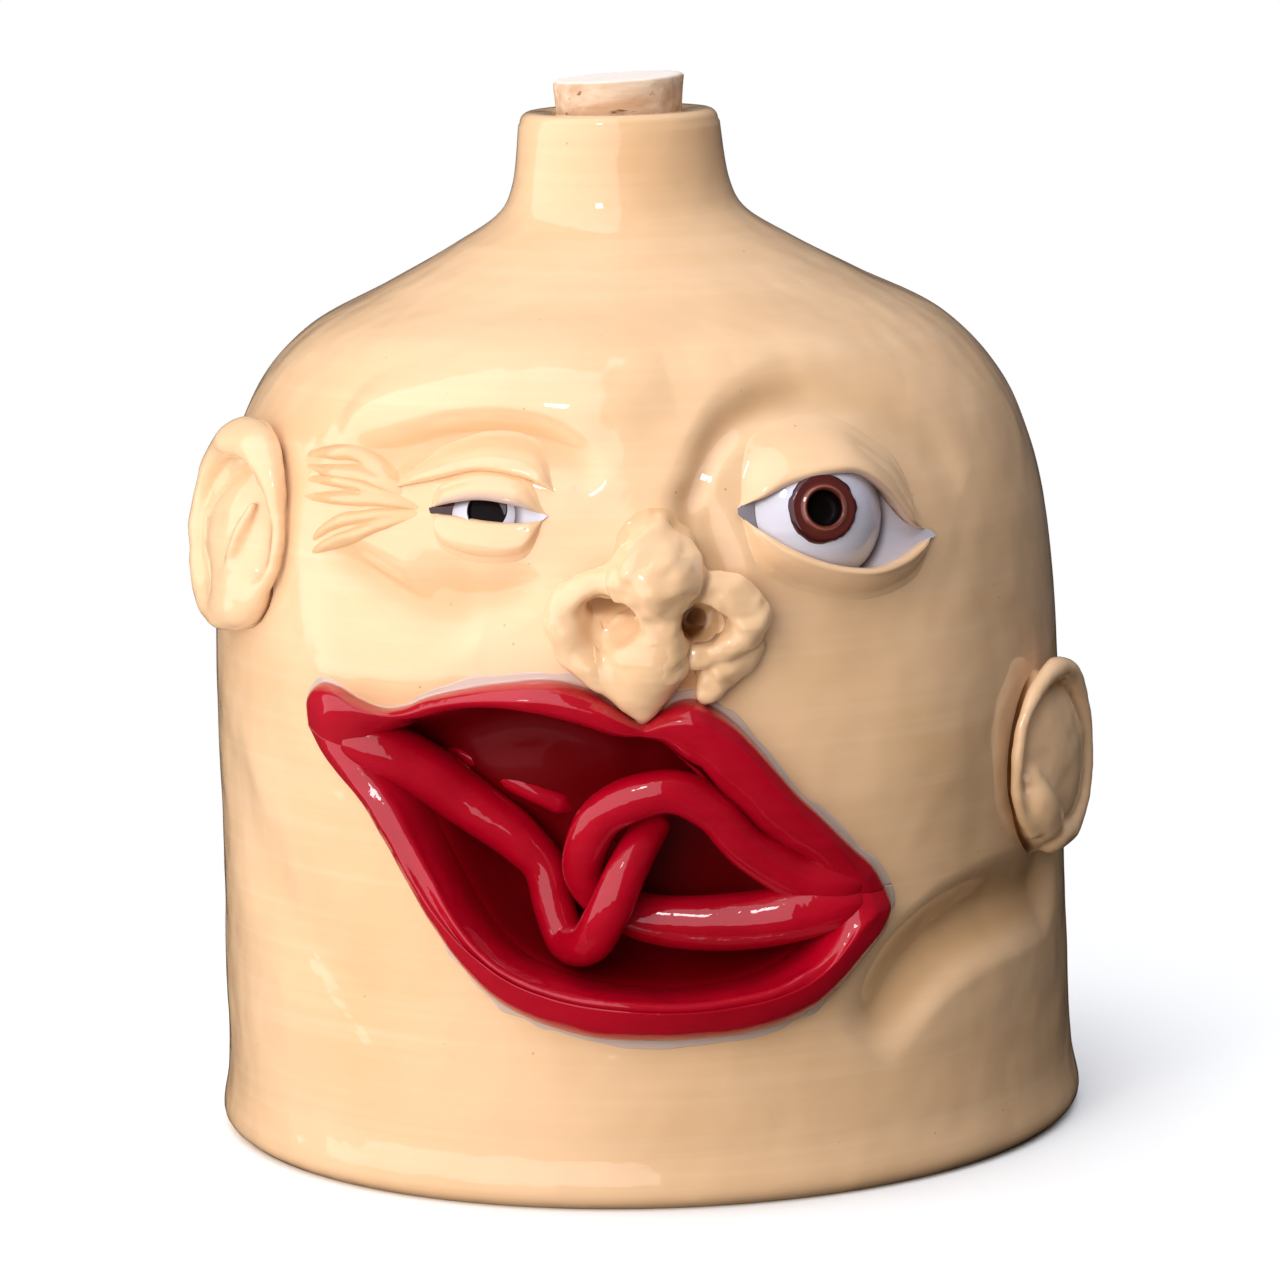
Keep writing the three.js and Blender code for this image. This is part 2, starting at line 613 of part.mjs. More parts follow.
// Nose
function left_wing(grow = 0) {
  return rope(NOSE, LEFT_WING, LID_STEPS, grow);
}

function right_wing(grow = 0) {
  return rope(NOSE, RIGHT_WING, LID_STEPS, grow).add(lump(NOSE, RIGHT_WING_LOBE, grow));
}
const nose_gap = joined(NOSE_LUMPS.map((part) => lump(NOSE, part, CLEARANCE)));
add_clay('nose_lump', cut(
  joined(NOSE_LUMPS.map((part) => lump(NOSE, part))),
  ...NOSTRILS.map((hole) => lump(NOSE, hole)),
  wall_gap,
), CLEAR_GLAZE);
add_clay('nose_left_wing', cut(left_wing(), nose_gap, wall_gap), CLEAR_GLAZE);
add_clay('nose_right_wing', cut(right_wing(), nose_gap, wall_gap), CLEAR_GLAZE);
add_clay('philtrum_wedge', cut(
  strip(NOSE, PHILTRUM, ROLL, SHORT_STEPS),
  nose_gap,
  left_wing(CLEARANCE),
  right_wing(CLEARANCE),
  wall_gap,
), CLEAR_GLAZE);

// Ears
function ear(at, outline) {
  const closed = new THREE.CatmullRomCurve3(outline.map(([a, u]) => new THREE.Vector3(a, u, 0)), true);
  const edge = closed.getPoints(ROUND_SIDES).slice(0, -1);
  const back = at[0] > 0 ? 1 : -1;
  const rings = [[1, -BED / EAR_FRONT], ...EAR_DISH].map(([share, rise]) => edge.map(({ x, y }) => {
    const toward_back = THREE.MathUtils.smoothstep(back * x, -EAR_HALF_WIDTH, EAR_HALF_WIDTH);
    const height = THREE.MathUtils.lerp(EAR_FRONT, EAR_BACK, toward_back);
    return wall_point(at[0] + share * x, at[1] + share * y, rise * height);
  }));
  return cut(loft(rings), wall_gap);
}
add_clay('left_ear', ear(LEFT_EAR, LEFT_EAR_OUTLINE), CLEAR_GLAZE);
add_clay('right_ear', ear(RIGHT_EAR, RIGHT_EAR_OUTLINE), CLEAR_GLAZE);

// Right eye
const pupil_well = on_wall(turned([
  [0, RIGHT_BALL_RADIUS - PUPIL_DEPTH],
  [PUPIL_RADIUS, RIGHT_BALL_RADIUS - PUPIL_DEPTH],
  [PUPIL_RADIUS, RIGHT_BALL_RADIUS + 1],
  [0, RIGHT_BALL_RADIUS + 1],
], ROUND_SIDES), RIGHT_EYE, [0, 0, -RIGHT_BALL_SINK]);
const pupil_disc = turned([
  [0, RIGHT_BALL_RADIUS - PUPIL_DEPTH + CLEARANCE],
  [PUPIL_RADIUS - CLEARANCE, RIGHT_BALL_RADIUS - PUPIL_DEPTH + CLEARANCE],
  [PUPIL_RADIUS - CLEARANCE, RIGHT_BALL_RADIUS - 0.6 * PUPIL_DEPTH],
  [0, RIGHT_BALL_RADIUS - 0.6 * PUPIL_DEPTH],
], ROUND_SIDES);
const right_ball = eyeball(RIGHT_EYE, RIGHT_BALL_RADIUS, RIGHT_BALL_SINK);
add_clay('right_eyeball', cut(right_ball, socket_floor, pupil_well), WHITE_GLAZE);
add_clay('right_iris', eye_ring(
  RIGHT_EYE, RIGHT_BALL_RADIUS, RIGHT_BALL_SINK, PUPIL_RADIUS + CLEARANCE, IRIS_RADIUS, IRIS_HEIGHT,
), BROWN_GLAZE);
add_clay('right_pupil', on_wall(pupil_disc, RIGHT_EYE, [0, 0, -RIGHT_BALL_SINK]), BLACK_GLAZE);
const right_upper_lid = strip(RIGHT_EYE, RIGHT_UPPER_LID, LID, LID_STEPS);
const right_lower_lid = strip(RIGHT_EYE, RIGHT_LOWER_LID, LID, LID_STEPS);
add_clay('right_upper_lid', cut(right_upper_lid, wall_gap, right_ball_gap), CLEAR_GLAZE);
add_clay('right_lower_lid', cut(right_lower_lid, wall_gap, right_ball_gap), CLEAR_GLAZE);

// Left eye, in a wink
const left_ball = eyeball(LEFT_EYE, LEFT_BALL_RADIUS, LEFT_BALL_SINK);
const left_pupil = eye_ring(LEFT_EYE, LEFT_BALL_RADIUS, LEFT_BALL_SINK, 0, LEFT_PUPIL_RADIUS, 0.6);
const left_lids_gap = [LEFT_UPPER_LID, LEFT_LOWER_LID].map((lid) => {
  return strip(LEFT_EYE, lid, LID, LID_STEPS, CLEARANCE);
});
add_clay('left_eyeball', cut(left_ball, socket_floor), WHITE_GLAZE);
add_clay('left_pupil', cut(left_pupil, ...left_lids_gap), BLACK_GLAZE);
const left_upper_lid = strip(LEFT_EYE, LEFT_UPPER_LID, LID, LID_STEPS);
const left_lower_lid = strip(LEFT_EYE, LEFT_LOWER_LID, LID, LID_STEPS);
add_clay('left_upper_lid', cut(left_upper_lid, wall_gap, left_ball_gap), CLEAR_GLAZE);
add_clay('left_lower_lid', cut(left_lower_lid, wall_gap, left_ball_gap), CLEAR_GLAZE);
const left_brow_fold = strip(LEFT_EYE, LEFT_BROW_FOLD, ROLL, LID_STEPS);
add_clay('left_brow_fold', cut(left_brow_fold, wall_gap, left_ball_gap), CLEAR_GLAZE);
CROWS_FEET.forEach((fold, i) => {
  add_clay(`crows_foot_${i + 1}`, cut(rope(LEFT_EYE, fold, SHORT_STEPS), wall_gap), CLEAR_GLAZE);
});

export default jug;
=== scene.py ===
"""A corked face jug, thrown on a wheel, with its face built on it from added clay."""

from math import radians

import bmesh
import bpy
import numpy as np
from mathutils import Matrix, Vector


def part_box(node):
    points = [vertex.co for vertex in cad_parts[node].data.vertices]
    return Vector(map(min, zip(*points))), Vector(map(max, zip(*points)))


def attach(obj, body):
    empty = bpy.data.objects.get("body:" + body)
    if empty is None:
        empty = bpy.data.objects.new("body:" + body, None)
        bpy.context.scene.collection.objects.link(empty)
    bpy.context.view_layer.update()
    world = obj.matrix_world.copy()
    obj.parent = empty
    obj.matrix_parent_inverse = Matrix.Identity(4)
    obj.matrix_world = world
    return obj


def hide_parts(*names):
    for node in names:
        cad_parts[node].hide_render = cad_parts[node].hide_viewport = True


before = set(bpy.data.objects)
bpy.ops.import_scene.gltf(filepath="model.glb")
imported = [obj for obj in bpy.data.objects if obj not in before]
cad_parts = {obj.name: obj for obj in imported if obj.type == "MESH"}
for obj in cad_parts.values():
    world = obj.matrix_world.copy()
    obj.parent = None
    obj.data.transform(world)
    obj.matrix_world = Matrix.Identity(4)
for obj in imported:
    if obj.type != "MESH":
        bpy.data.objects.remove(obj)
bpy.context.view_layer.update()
MM = 0.001

# Camera and light
# The jug stands on pale paper, seen from a little above its middle, with a long lens. A big soft
# lamp stands at the front left, like a window, a weaker one at the left, and a small one high up
# gives the hard glints. The glaze mirrors a room of which the left half, in front, is bright.
CAMERA_AWAY = 1.3735
CAMERA_UP = 0.3467
CAMERA_PITCH = 9.54
CAMERA_ROLL = 1.5
LENS = 159.6
BRIGHT_HALF = 1.22
DARK_HALF = 0.04
# The bright half ends at the middle of the room, and behind the jug at a slanting plane
SIDE_BLUR = 0.012
BACK_BLUR = 0.015
BACK_PLANE = (0.287, 1, -0.2)

camera = bpy.data.objects.new("camera", bpy.data.cameras.new("camera"))
camera.data.lens = LENS
camera.data.sensor_width = 36
camera.matrix_world = (
    Matrix.Translation((0, -CAMERA_AWAY, CAMERA_UP))
    @ Matrix.Rotation(radians(90 - CAMERA_PITCH), 4, "X")
    @ Matrix.Rotation(radians(-CAMERA_ROLL), 4, "Z")
)
bpy.context.scene.collection.objects.link(camera)
bpy.context.scene.camera = camera


def area_lamp(name, azimuth, away, width, low, high, watts, pitch=0, tint=(1, 1, 1), shown=False):
    """A lamp that faces the jug from azimuth degrees left of the camera, between two heights in metres."""
    lamp = bpy.data.lights.new(name, "AREA")
    lamp.shape = "RECTANGLE"
    lamp.size = width
    lamp.size_y = high - low
    lamp.energy = watts
    lamp.color = tint
    placed = bpy.data.objects.new(name, lamp)
    placed.visible_glossy = shown
    aim = Matrix.Rotation(radians(-azimuth), 4, "Z") @ Matrix.Translation((0, -away, (low + high) / 2))
    placed.matrix_world = aim @ Matrix.Rotation(radians(90 - pitch), 4, "X")
    bpy.context.scene.collection.objects.link(placed)


area_lamp("key", 26, 1.55, 1.3, 0.08, 1.14, 19, tint=(1, 0.975, 0.94))
area_lamp("side", 92, 1.4, 1.0, 0.02, 1.3, 5, tint=(0.95, 0.98, 1))
area_lamp("glint", 26, 1.15, 0.2, 1.0, 1.25, 2, pitch=42, shown=True)


def linear(colour):
    """sRGB hex colour as linear red, green, blue and alpha."""
    parts = [int(colour[i : i + 2], 16) / 255 for i in (1, 3, 5)]
    return [p / 12.92 if p < 0.04045 else ((p + 0.055) / 1.055) ** 2.4 for p in parts] + [1]


def add_node(tree, kind, inputs=None, **settings):
    """A shader node with its settings, and its inputs as values or as what feeds them.

    A node that feeds one does so from its first output.
    """
    made = tree.nodes.new(kind)
    for name, value in settings.items():
        setattr(made, name, value)
    for name, value in (inputs or {}).items():
        if isinstance(value, bpy.types.Node):
            value = value.outputs[0]
        if isinstance(value, bpy.types.NodeSocket):
            tree.links.new(value, made.inputs[name])
        else:
            made.inputs[name].default_value = value
    return made


def empty_tree(owner):
    """The node tree of a new material or world, with nothing in it."""
    owner.use_nodes = True
    owner.node_tree.nodes.clear()
    return owner.node_tree


def layered(tree, ground, *layers):
    """A ground colour with tints laid over it, each where a pattern says.

    A layer is its tint and its pattern, and where it isn't 0, 1 and 1, the values at which the
    pattern shows none and the most of the tint, and how much that most is.
    """
    surface = linear(ground)
    for tint, pattern, *span in layers:
        none, full, most = span or (0, 1, 1)
        share = add_node(tree, "ShaderNodeMapRange", {
            "Value": pattern, "From Min": none, "From Max": full, "To Max": most})
        mixed = add_node(tree, "ShaderNodeMix", {0: share, 6: surface, 7: linear(tint)}, data_type="RGBA")
        surface = mixed.outputs[2]
    return surface


world = bpy.data.worlds.new("studio")
bpy.context.scene.world = world
tree = empty_tree(world)
path = add_node(tree, "ShaderNodeLightPath")
toward = add_node(tree, "ShaderNodeTexCoord").outputs["Generated"]
axes = add_node(tree, "ShaderNodeSeparateXYZ", {0: toward})
# Matt surfaces are lit a little from the left and more from above
from_left = add_node(tree, "ShaderNodeMapRange", {
    "Value": axes.outputs["X"], "From Min": 1.0, "From Max": -1.0, "To Min": 0.02, "To Max": 0.2})
from_above = add_node(tree, "ShaderNodeMapRange", {
    "Value": axes.outputs["Z"], "From Min": 0.5, "From Max": 1.0, "To Min": 0.0, "To Max": 2.5})
strength = add_node(tree, "ShaderNodeMath", {0: from_left, 1: from_above}, operation="ADD")
sky_tone = layered(tree, "#ffe0bc", ("#eef4ff", from_above))
ambient = add_node(tree, "ShaderNodeBackground", {"Color": sky_tone, "Strength": strength})
# Mirror-like surfaces see the bright half of the room
left_half = add_node(tree, "ShaderNodeMapRange", {
    "Value": axes.outputs["X"], "From Min": SIDE_BLUR, "From Max": -SIDE_BLUR})
behind = add_node(tree, "ShaderNodeVectorMath", {0: toward, 1: BACK_PLANE}, operation="DOT_PRODUCT")
in_front = add_node(tree, "ShaderNodeMapRange", {
    "Value": behind.outputs["Value"], "From Min": BACK_BLUR, "From Max": -BACK_BLUR})
bright = add_node(tree, "ShaderNodeMath", {0: left_half, 1: in_front}, operation="MULTIPLY")
mirrored = add_node(tree, "ShaderNodeMath", {0: bright, 1: BRIGHT_HALF, 2: DARK_HALF},
                    operation="MULTIPLY_ADD")
mirror_room = add_node(tree, "ShaderNodeBackground", {"Color": linear("#fbf7ff"), "Strength": mirrored})
white = add_node(tree, "ShaderNodeBackground", {"Color": linear("#ffffff"), "Strength": 1.0})
room = add_node(tree, "ShaderNodeMixShader", {0: path.outputs["Is Glossy Ray"], 1: ambient, 2: mirror_room})
seen = add_node(tree, "ShaderNodeMixShader", {0: path.outputs["Is Camera Ray"], 1: room, 2: white})
add_node(tree, "ShaderNodeOutputWorld", {"Surface": seen})
bpy.context.scene.view_settings.view_transform = "Standard"

# Floor
# A seamless sheet of pale paper, laid loose. Near the jug it takes the jug's shadow, and further
# off it is the white background. Toward the right it throws less light back on the jug, as a
# dark room would. The glaze mirrors it dark, and beyond a short way mirrors the room instead.
FLOOR_SIZE = 9
SHADOW_FADES = (0.11, 0.24)
BOUNCE_FADES = (-0.16, 0.1)
MIRRORED_REACH = 0.75
paper = bpy.data.materials.new("white_paper_floor")
tree = empty_tree(paper)
place = add_node(tree, "ShaderNodeTexCoord").outputs["Object"]
from_jug = add_node(tree, "ShaderNodeVectorMath", {0: place}, operation="LENGTH").outputs["Value"]
far = add_node(tree, "ShaderNodeMapRange", {
    "Value": from_jug, "From Min": SHADOW_FADES[0], "From Max": SHADOW_FADES[1]},
    interpolation_type="SMOOTHSTEP")
path = add_node(tree, "ShaderNodeLightPath")
seen_far = add_node(tree, "ShaderNodeMath", {0: far, 1: path.outputs["Is Camera Ray"]}, operation="MULTIPLY")
axes = add_node(tree, "ShaderNodeSeparateXYZ", {0: place})
right_side = add_node(tree, "ShaderNodeMapRange", {
    "Value": axes.outputs["X"], "From Min": BOUNCE_FADES[0], "From Max": BOUNCE_FADES[1], "To Max": 0.93})
dimmed = add_node(tree, "ShaderNodeMath", {0: right_side, 1: path.outputs["Is Diffuse Ray"]},
                  operation="MULTIPLY")
sheet_tone = layered(tree, "#faf9f7", ("#171513", path.outputs["Is Glossy Ray"]), ("#3a342c", dimmed))
sheet = add_node(tree, "ShaderNodeBsdfDiffuse", {"Color": sheet_tone})
glow = add_node(tree, "ShaderNodeEmission", {"Color": linear("#ffffff"), "Strength": 1.0})
shown = add_node(tree, "ShaderNodeMixShader", {0: seen_far, 1: sheet, 2: glow})
beyond = add_node(tree, "ShaderNodeMath", {0: from_jug, 1: MIRRORED_REACH}, operation="GREATER_THAN")
through = add_node(tree, "ShaderNodeMath", {0: beyond, 1: path.outputs["Is Glossy Ray"]},
                   operation="MULTIPLY")
clear = add_node(tree, "ShaderNodeBsdfTransparent")
laid = add_node(tree, "ShaderNodeMixShader", {0: through, 1: shown, 2: clear})
add_node(tree, "ShaderNodeOutputMaterial", {"Surface": laid})
floor_mesh = bpy.data.meshes.new("floor")
half = FLOOR_SIZE / 2
corners = [(-half, -half, 0), (half, -half, 0), (half, half, 0), (-half, half, 0)]
floor_mesh.from_pydata(corners, [], [(0, 1, 2, 3)])
floor_mesh.materials.append(paper)
floor = bpy.data.objects.new("floor", floor_mesh)
bpy.context.scene.collection.objects.link(floor)

# Jug body
# Buff stoneware thrown in one piece, with the brow, cheeks and jaw pressed and pulled by hand
# while the wall was soft. Places on it are millimetres along the wall from the middle of the
# face, up from the foot, and off the wall, as in the CAD.
WALL_RADIUS = 103
WALL = 8
FLOOR = 9
FOOT_SWELL = 2.8
FOOT_HEIGHT = 14
SHOULDER_HEIGHT = 134
NECK_HEIGHT = 222
RIM_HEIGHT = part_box("jug_body")[1].z / MM
NECK_FOOT_RADIUS = 29.5
NECK_TOP_RADIUS = 24
RIM_ROUNDING = 2.6
LEAN = 0.0075
# The turn of the shoulder, as shares of its height and of its overhang
SHOULDER_TURN = [[0.28, 0.955], [0.53, 0.84], [0.69, 0.665], [0.81, 0.39], [0.91, 0.165]]
RIGHT_EYE = (47, 159)
LEFT_EYE = (-36, 161)
NOSE = (4, 137)
MOUTH = (-8, 82)
LEFT_EAR = (-117, 153)
RIGHT_EAR = (119, 92)

# Strokes of a finger or tool, as [along, up, off, reach] from their feature
RIGHT_BROW_FURROW = [
    [-31, -14, -0.5, 4], [-35, -5, -1, 5], [-35, 3.5, -1.4, 5.5], [-31.5, 10, -1.8, 6],
    [-27, 16.5, -2.4, 6.5], [-20, 21.8, -3, 7.5], [-10.6, 25.2, -3.2, 8], [-1.6, 26.4, -3, 9],
    [9, 25.8, -2.8, 10], [20, 23, -2.4, 11], [31, 18, -2, 12], [43, 9, -1.5, 11], [48, 2, 0, 10],
]
RIGHT_BROW_RIDGE = [[-28, 34, 0, 9], [-14, 39, 1.2, 10], [6, 41, 1.6, 11], [26, 36, 1.2, 11], [40, 27, 0, 9]]
LEFT_BROW_FURROW = [
    [-46, 10, 0, 5], [-38, 11.5, -3, 6.5], [-29, 12, -4.4, 8], [-11.6, 15.4, -5.2, 8.5],
    [3.5, 16.6, -5.2, 8.5], [15, 14.5, -4.6, 8.5], [24, 10.5, -2.6, 7], [28, 5, 0, 6],
]
LEFT_BROW_RIDGE = [
    [-48, 16, 0, 6], [-42, 22, 2, 8], [-28, 26, 3, 9.5], [-6, 27.5, 3.6, 10], [14, 26.5, 3.6, 10.5],
    [28, 26, 3.2, 12], [40, 28, 2, 12], [48, 30, 0, 11],
]
LEFT_CHEEK_FOLD = [
    [-42, -15.5, 0, 4.5], [-36, -17.5, 0.8, 5], [-22, -23.5, 1.1, 5.5], [-8, -28.5, 0.8, 5.5],
    [2, -30.5, 0, 5],
]
LEFT_CHEEK_HOLLOW = [
    [-46.5, -10.5, 0, 5], [-37.8, -12.7, -3.2, 7.5], [-23.2, -19, -4, 9.5], [-8.4, -24.5, -3.6, 9.5],
    [0, -26.5, 0, 8],
]
LEFT_LID_HOLLOW = [
    [-20, -11, 0, 6], [-10, -15, -3, 8], [0, -18.5, -3.4, 9.5], [9, -16, -2.4, 8], [14, -12, 0, 6],
]
LEFT_JAW_FURROW = [
    [-126, 17, 0, 16], [-112, -0.5, -1.2, 18], [-96, -15, -1.6, 19], [-78, -26, -1.5, 18],
    [-58, -36, -1, 16], [-39, -41, 0, 14],
]
RIGHT_JAW_FURROW = [
    [127, -22, -4, 14], [97, -23, -6.5, 14], [80, -28, -7, 14], [68, -37, -5.5, 13], [58, -48, 0, 12],
]
NOSE_SIDE = [[12, 26, -1, 7], [16, 14, -2.2, 7], [20, 4, -1, 6]]
STROKES = [
    (RIGHT_EYE, RIGHT_BROW_FURROW),
    (RIGHT_EYE, RIGHT_BROW_RIDGE),
    (LEFT_EYE, LEFT_BROW_FURROW),
    (LEFT_EYE, LEFT_BROW_RIDGE),
    (LEFT_EYE, LEFT_CHEEK_FOLD),
    (LEFT_EYE, LEFT_CHEEK_HOLLOW),
    (LEFT_EYE, LEFT_LID_HOLLOW),
    (MOUTH, LEFT_JAW_FURROW),
    (MOUTH, RIGHT_JAW_FURROW),
    (NOSE, NOSE_SIDE),
]

# Painted shade darkens this crease beside the right eye and the wall behind the nose's right hole,
# as [along, up, share, reach] from their feature
RIGHT_BROW_CREASE = [
    [-30, -12, 0, 3], [-34, -4, 0.3, 4], [-34.5, 3.5, 0.5, 4.5], [-31, 10, 0.55, 4.5],
    [-26.5, 17, 0.5, 4.5], [-19.6, 22, 0.45, 5], [-10.6, 25.2, 0.4, 5.5], [-1.6, 26.4, 0.25, 6],
    [6, 26, 0, 6],
]
RIGHT_NOSTRIL_FLOOR = [[8, -2, 1, 7], [10, 1, 1, 7]]

# Broad swells, as [along, up, reach along, reach up, off] from their feature
SWELLS = [
    (LEFT_EYE, [-20, -36, 36, 15, 3]),
    (LEFT_EYE, [4, 38, 60, 9, 2.6]),
    (RIGHT_EYE, [28, -52, 36, 34, 3.5]),
    (RIGHT_EYE, [2, 15, 26, 9, 0.6]),
    (MOUTH, [10, -56, 44, 20, 0.8]),
]


def curve(points, count, closed=False):
    """Smooth curve through points, as count rows evenly spread over its stretches."""
    points = np.array(points, float)
    if closed:
        knots = np.vstack([points[-1], points, points[:2]])
    else:
        knots = np.vstack([2 * points[0] - points[1], points, 2 * points[-1] - points[-2]])
    stretches = len(knots) - 3
    time = np.linspace(0, stretches, count, endpoint=not closed)
    start = np.minimum(time.astype(int), stretches - 1)
    t = (time - start)[:, None]
    p0, p1, p2, p3 = (knots[start + i] for i in range(4))
    pairs = ((p0, p1), (p1, p2), (p2, p3))
    d0, d1, d2 = (np.sqrt(np.linalg.norm(b - a, axis=1, keepdims=True)) for a, b in pairs)
    leave = ((p1 - p0) / d0 - (p2 - p0) / (d0 + d1) + (p2 - p1) / d1) * d1
    arrive = ((p2 - p1) / d1 - (p3 - p1) / (d1 + d2) + (p3 - p2) / d2) * d1
    return (
        p1 * (2 * t**3 - 3 * t**2 + 1)
        + leave * (t**3 - 2 * t**2 + t)
        + arrive * (t**3 - t**2)
        + p2 * (3 * t**2 - 2 * t**3)
    )


def smoothstep(value, low, high):
    """A smooth step from 0 at low to 1 at high."""
    share = np.clip((value - low) / (high - low), 0, 1)
    return share * share * (3 - 2 * share)


def mix(a, b, share):
    return a + (b - a) * share


def ripple(a, b, size, seed):
    """Smooth unevenness between -1 and 1, with bumps of about that size."""
    grid = np.random.default_rng(seed).uniform(-1, 1, (64, 64))
    u = np.asarray(a, float) / size
    v = np.asarray(b, float) / size
    i = np.floor(u).astype(int)
    j = np.floor(v).astype(int)
    x = smoothstep(u - i, 0, 1)
    y = smoothstep(v - j, 0, 1)
    near = mix(grid[i % 64, j % 64], grid[(i + 1) % 64, j % 64], x)
    far = mix(grid[i % 64, (j + 1) % 64], grid[(i + 1) % 64, (j + 1) % 64], x)
    return mix(near, far, y)


overhang = WALL_RADIUS - 1 - NECK_FOOT_RADIUS
shoulder = NECK_HEIGHT - SHOULDER_HEIGHT
PROFILE = curve(
    [
        [0, WALL_RADIUS],
        [0.2 * FOOT_HEIGHT, WALL_RADIUS + FOOT_SWELL],
        [FOOT_HEIGHT, WALL_RADIUS + 0.5 * FOOT_SWELL],
        [0.4 * SHOULDER_HEIGHT, WALL_RADIUS + 0.5],
        [SHOULDER_HEIGHT, WALL_RADIUS - 1],
        *[[SHOULDER_HEIGHT + up * shoulder, NECK_FOOT_RADIUS + out * overhang] for up, out in SHOULDER_TURN],
        [NECK_HEIGHT, NECK_FOOT_RADIUS],
        [NECK_HEIGHT + 0.25 * (RIM_HEIGHT - NECK_HEIGHT), 0.55 * NECK_TOP_RADIUS + 0.45 * NECK_FOOT_RADIUS],
        [RIM_HEIGHT, NECK_TOP_RADIUS],
    ],
    400,
)


def radius_at(up):
    return np.interp(up, PROFILE[:, 0], PROFILE[:, 1])


def stroke_push(path, along, up):
    """How far a stroke pushed the wall: its off, faded over its reach to each side."""
    rows = curve(path, 5 * len(path))
    low = (rows[:, :2] - rows[:, 3:]).min(0)
    high = (rows[:, :2] + rows[:, 3:]).max(0)
    near = (along > low[0]) & (along < high[0]) & (up > low[1]) & (up < high[1])
    x = along[near]
    y = up[near]
    nearest = np.full(x.shape, np.inf)
    pushed = np.zeros(x.shape)
    for a, b in zip(rows[:-1], rows[1:]):
        step = b[:2] - a[:2]
        share = np.clip(((x - a[0]) * step[0] + (y - a[1]) * step[1]) / (step @ step), 0, 1)
        distance = np.hypot(x - a[0] - share * step[0], y - a[1] - share * step[1])
        closer = distance < nearest
        fade = 1 - smoothstep(distance, 0, mix(a[3], b[3], share))
        pushed = np.where(closer, mix(a[2], b[2], share) * fade, pushed)
        nearest = np.minimum(nearest, distance)
    push = np.zeros(along.shape)
    push[near] = pushed
    return push


def relief(along, up):
    """How far the soft wall was pushed in or out at a place."""
    push = np.zeros(along.shape)
    for at, path in STROKES:
        push += stroke_push(path, along - at[0], up - at[1])
    for at, (centre_along, centre_up, reach_along, reach_up, off) in SWELLS:
        across = (along - at[0] - centre_along) / reach_along
        rise = (up - at[1] - centre_up) / reach_up
        push += off * np.exp(-1.5 * (across**2 + rise**2))
    return push


def wall_point(along, up, off=0.0):
    """Place on the wall, or off it, as millimetres in the frame."""
    along, up, off = np.broadcast_arrays(np.asarray(along, float), np.asarray(up, float), off)
    radius = radius_at(up) + relief(along, up) + off
    angle = along / WALL_RADIUS
    return np.stack([radius * np.sin(angle) - LEAN * up, -radius * np.cos(angle), up], -1)


def grid_faces(rows, columns, closed=False):
    """Quads of a grid of points, row after row. A closed grid joins its last column to its first."""
    row, column = np.meshgrid(np.arange(rows - 1), np.arange(columns - (not closed)), indexing="ij")
    a = row * columns + column
    b = row * columns + (column + 1) % columns
    return np.stack([a, b, b + columns, a + columns], -1).reshape(-1, 4)


def inside(outline, along, up):
    """Which places lie inside a closed outline on the wall."""
    crossings = np.zeros(along.shape, int)
    for (a, b), (c, d) in zip(outline, np.roll(outline, -1, 0)):
        between = (b > up) != (d > up)
        reach = a + (up - b) * (c - a) / (d - b if d != b else 1)
        crossings += between & (along < reach)
    return crossings % 2 == 1


def clay_piece(name, points, faces, material, slot, node, body="jug", marks=None):
    """A smooth piece from points in millimetres, which rides on a body and stands for its CAD node.

    Marks are values at its points that its material reads.
    """
    mesh = bpy.data.meshes.new(name)
    metres = np.reshape(points, (-1, 3)) * MM
    mesh.from_pydata(metres.tolist(), [], [list(map(int, face)) for face in faces])
    for mark, values in (marks or {}).items():
        layer = mesh.attributes.new(mark, "FLOAT", "POINT")
        layer.data.foreach_set("value", np.ravel(values).astype(np.float32))
    shape = bmesh.new()
    shape.from_mesh(mesh)
    bmesh.ops.remove_doubles(shape, verts=shape.verts, dist=1e-7)
    bmesh.ops.recalc_face_normals(shape, faces=shape.faces)
    shape.to_mesh(mesh)
    shape.free()
    mesh.shade_smooth()
    mesh.materials.append(material)
    made = bpy.data.objects.new(name, mesh)
    bpy.context.scene.collection.objects.link(made)
    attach(made, body)
    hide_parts(node)


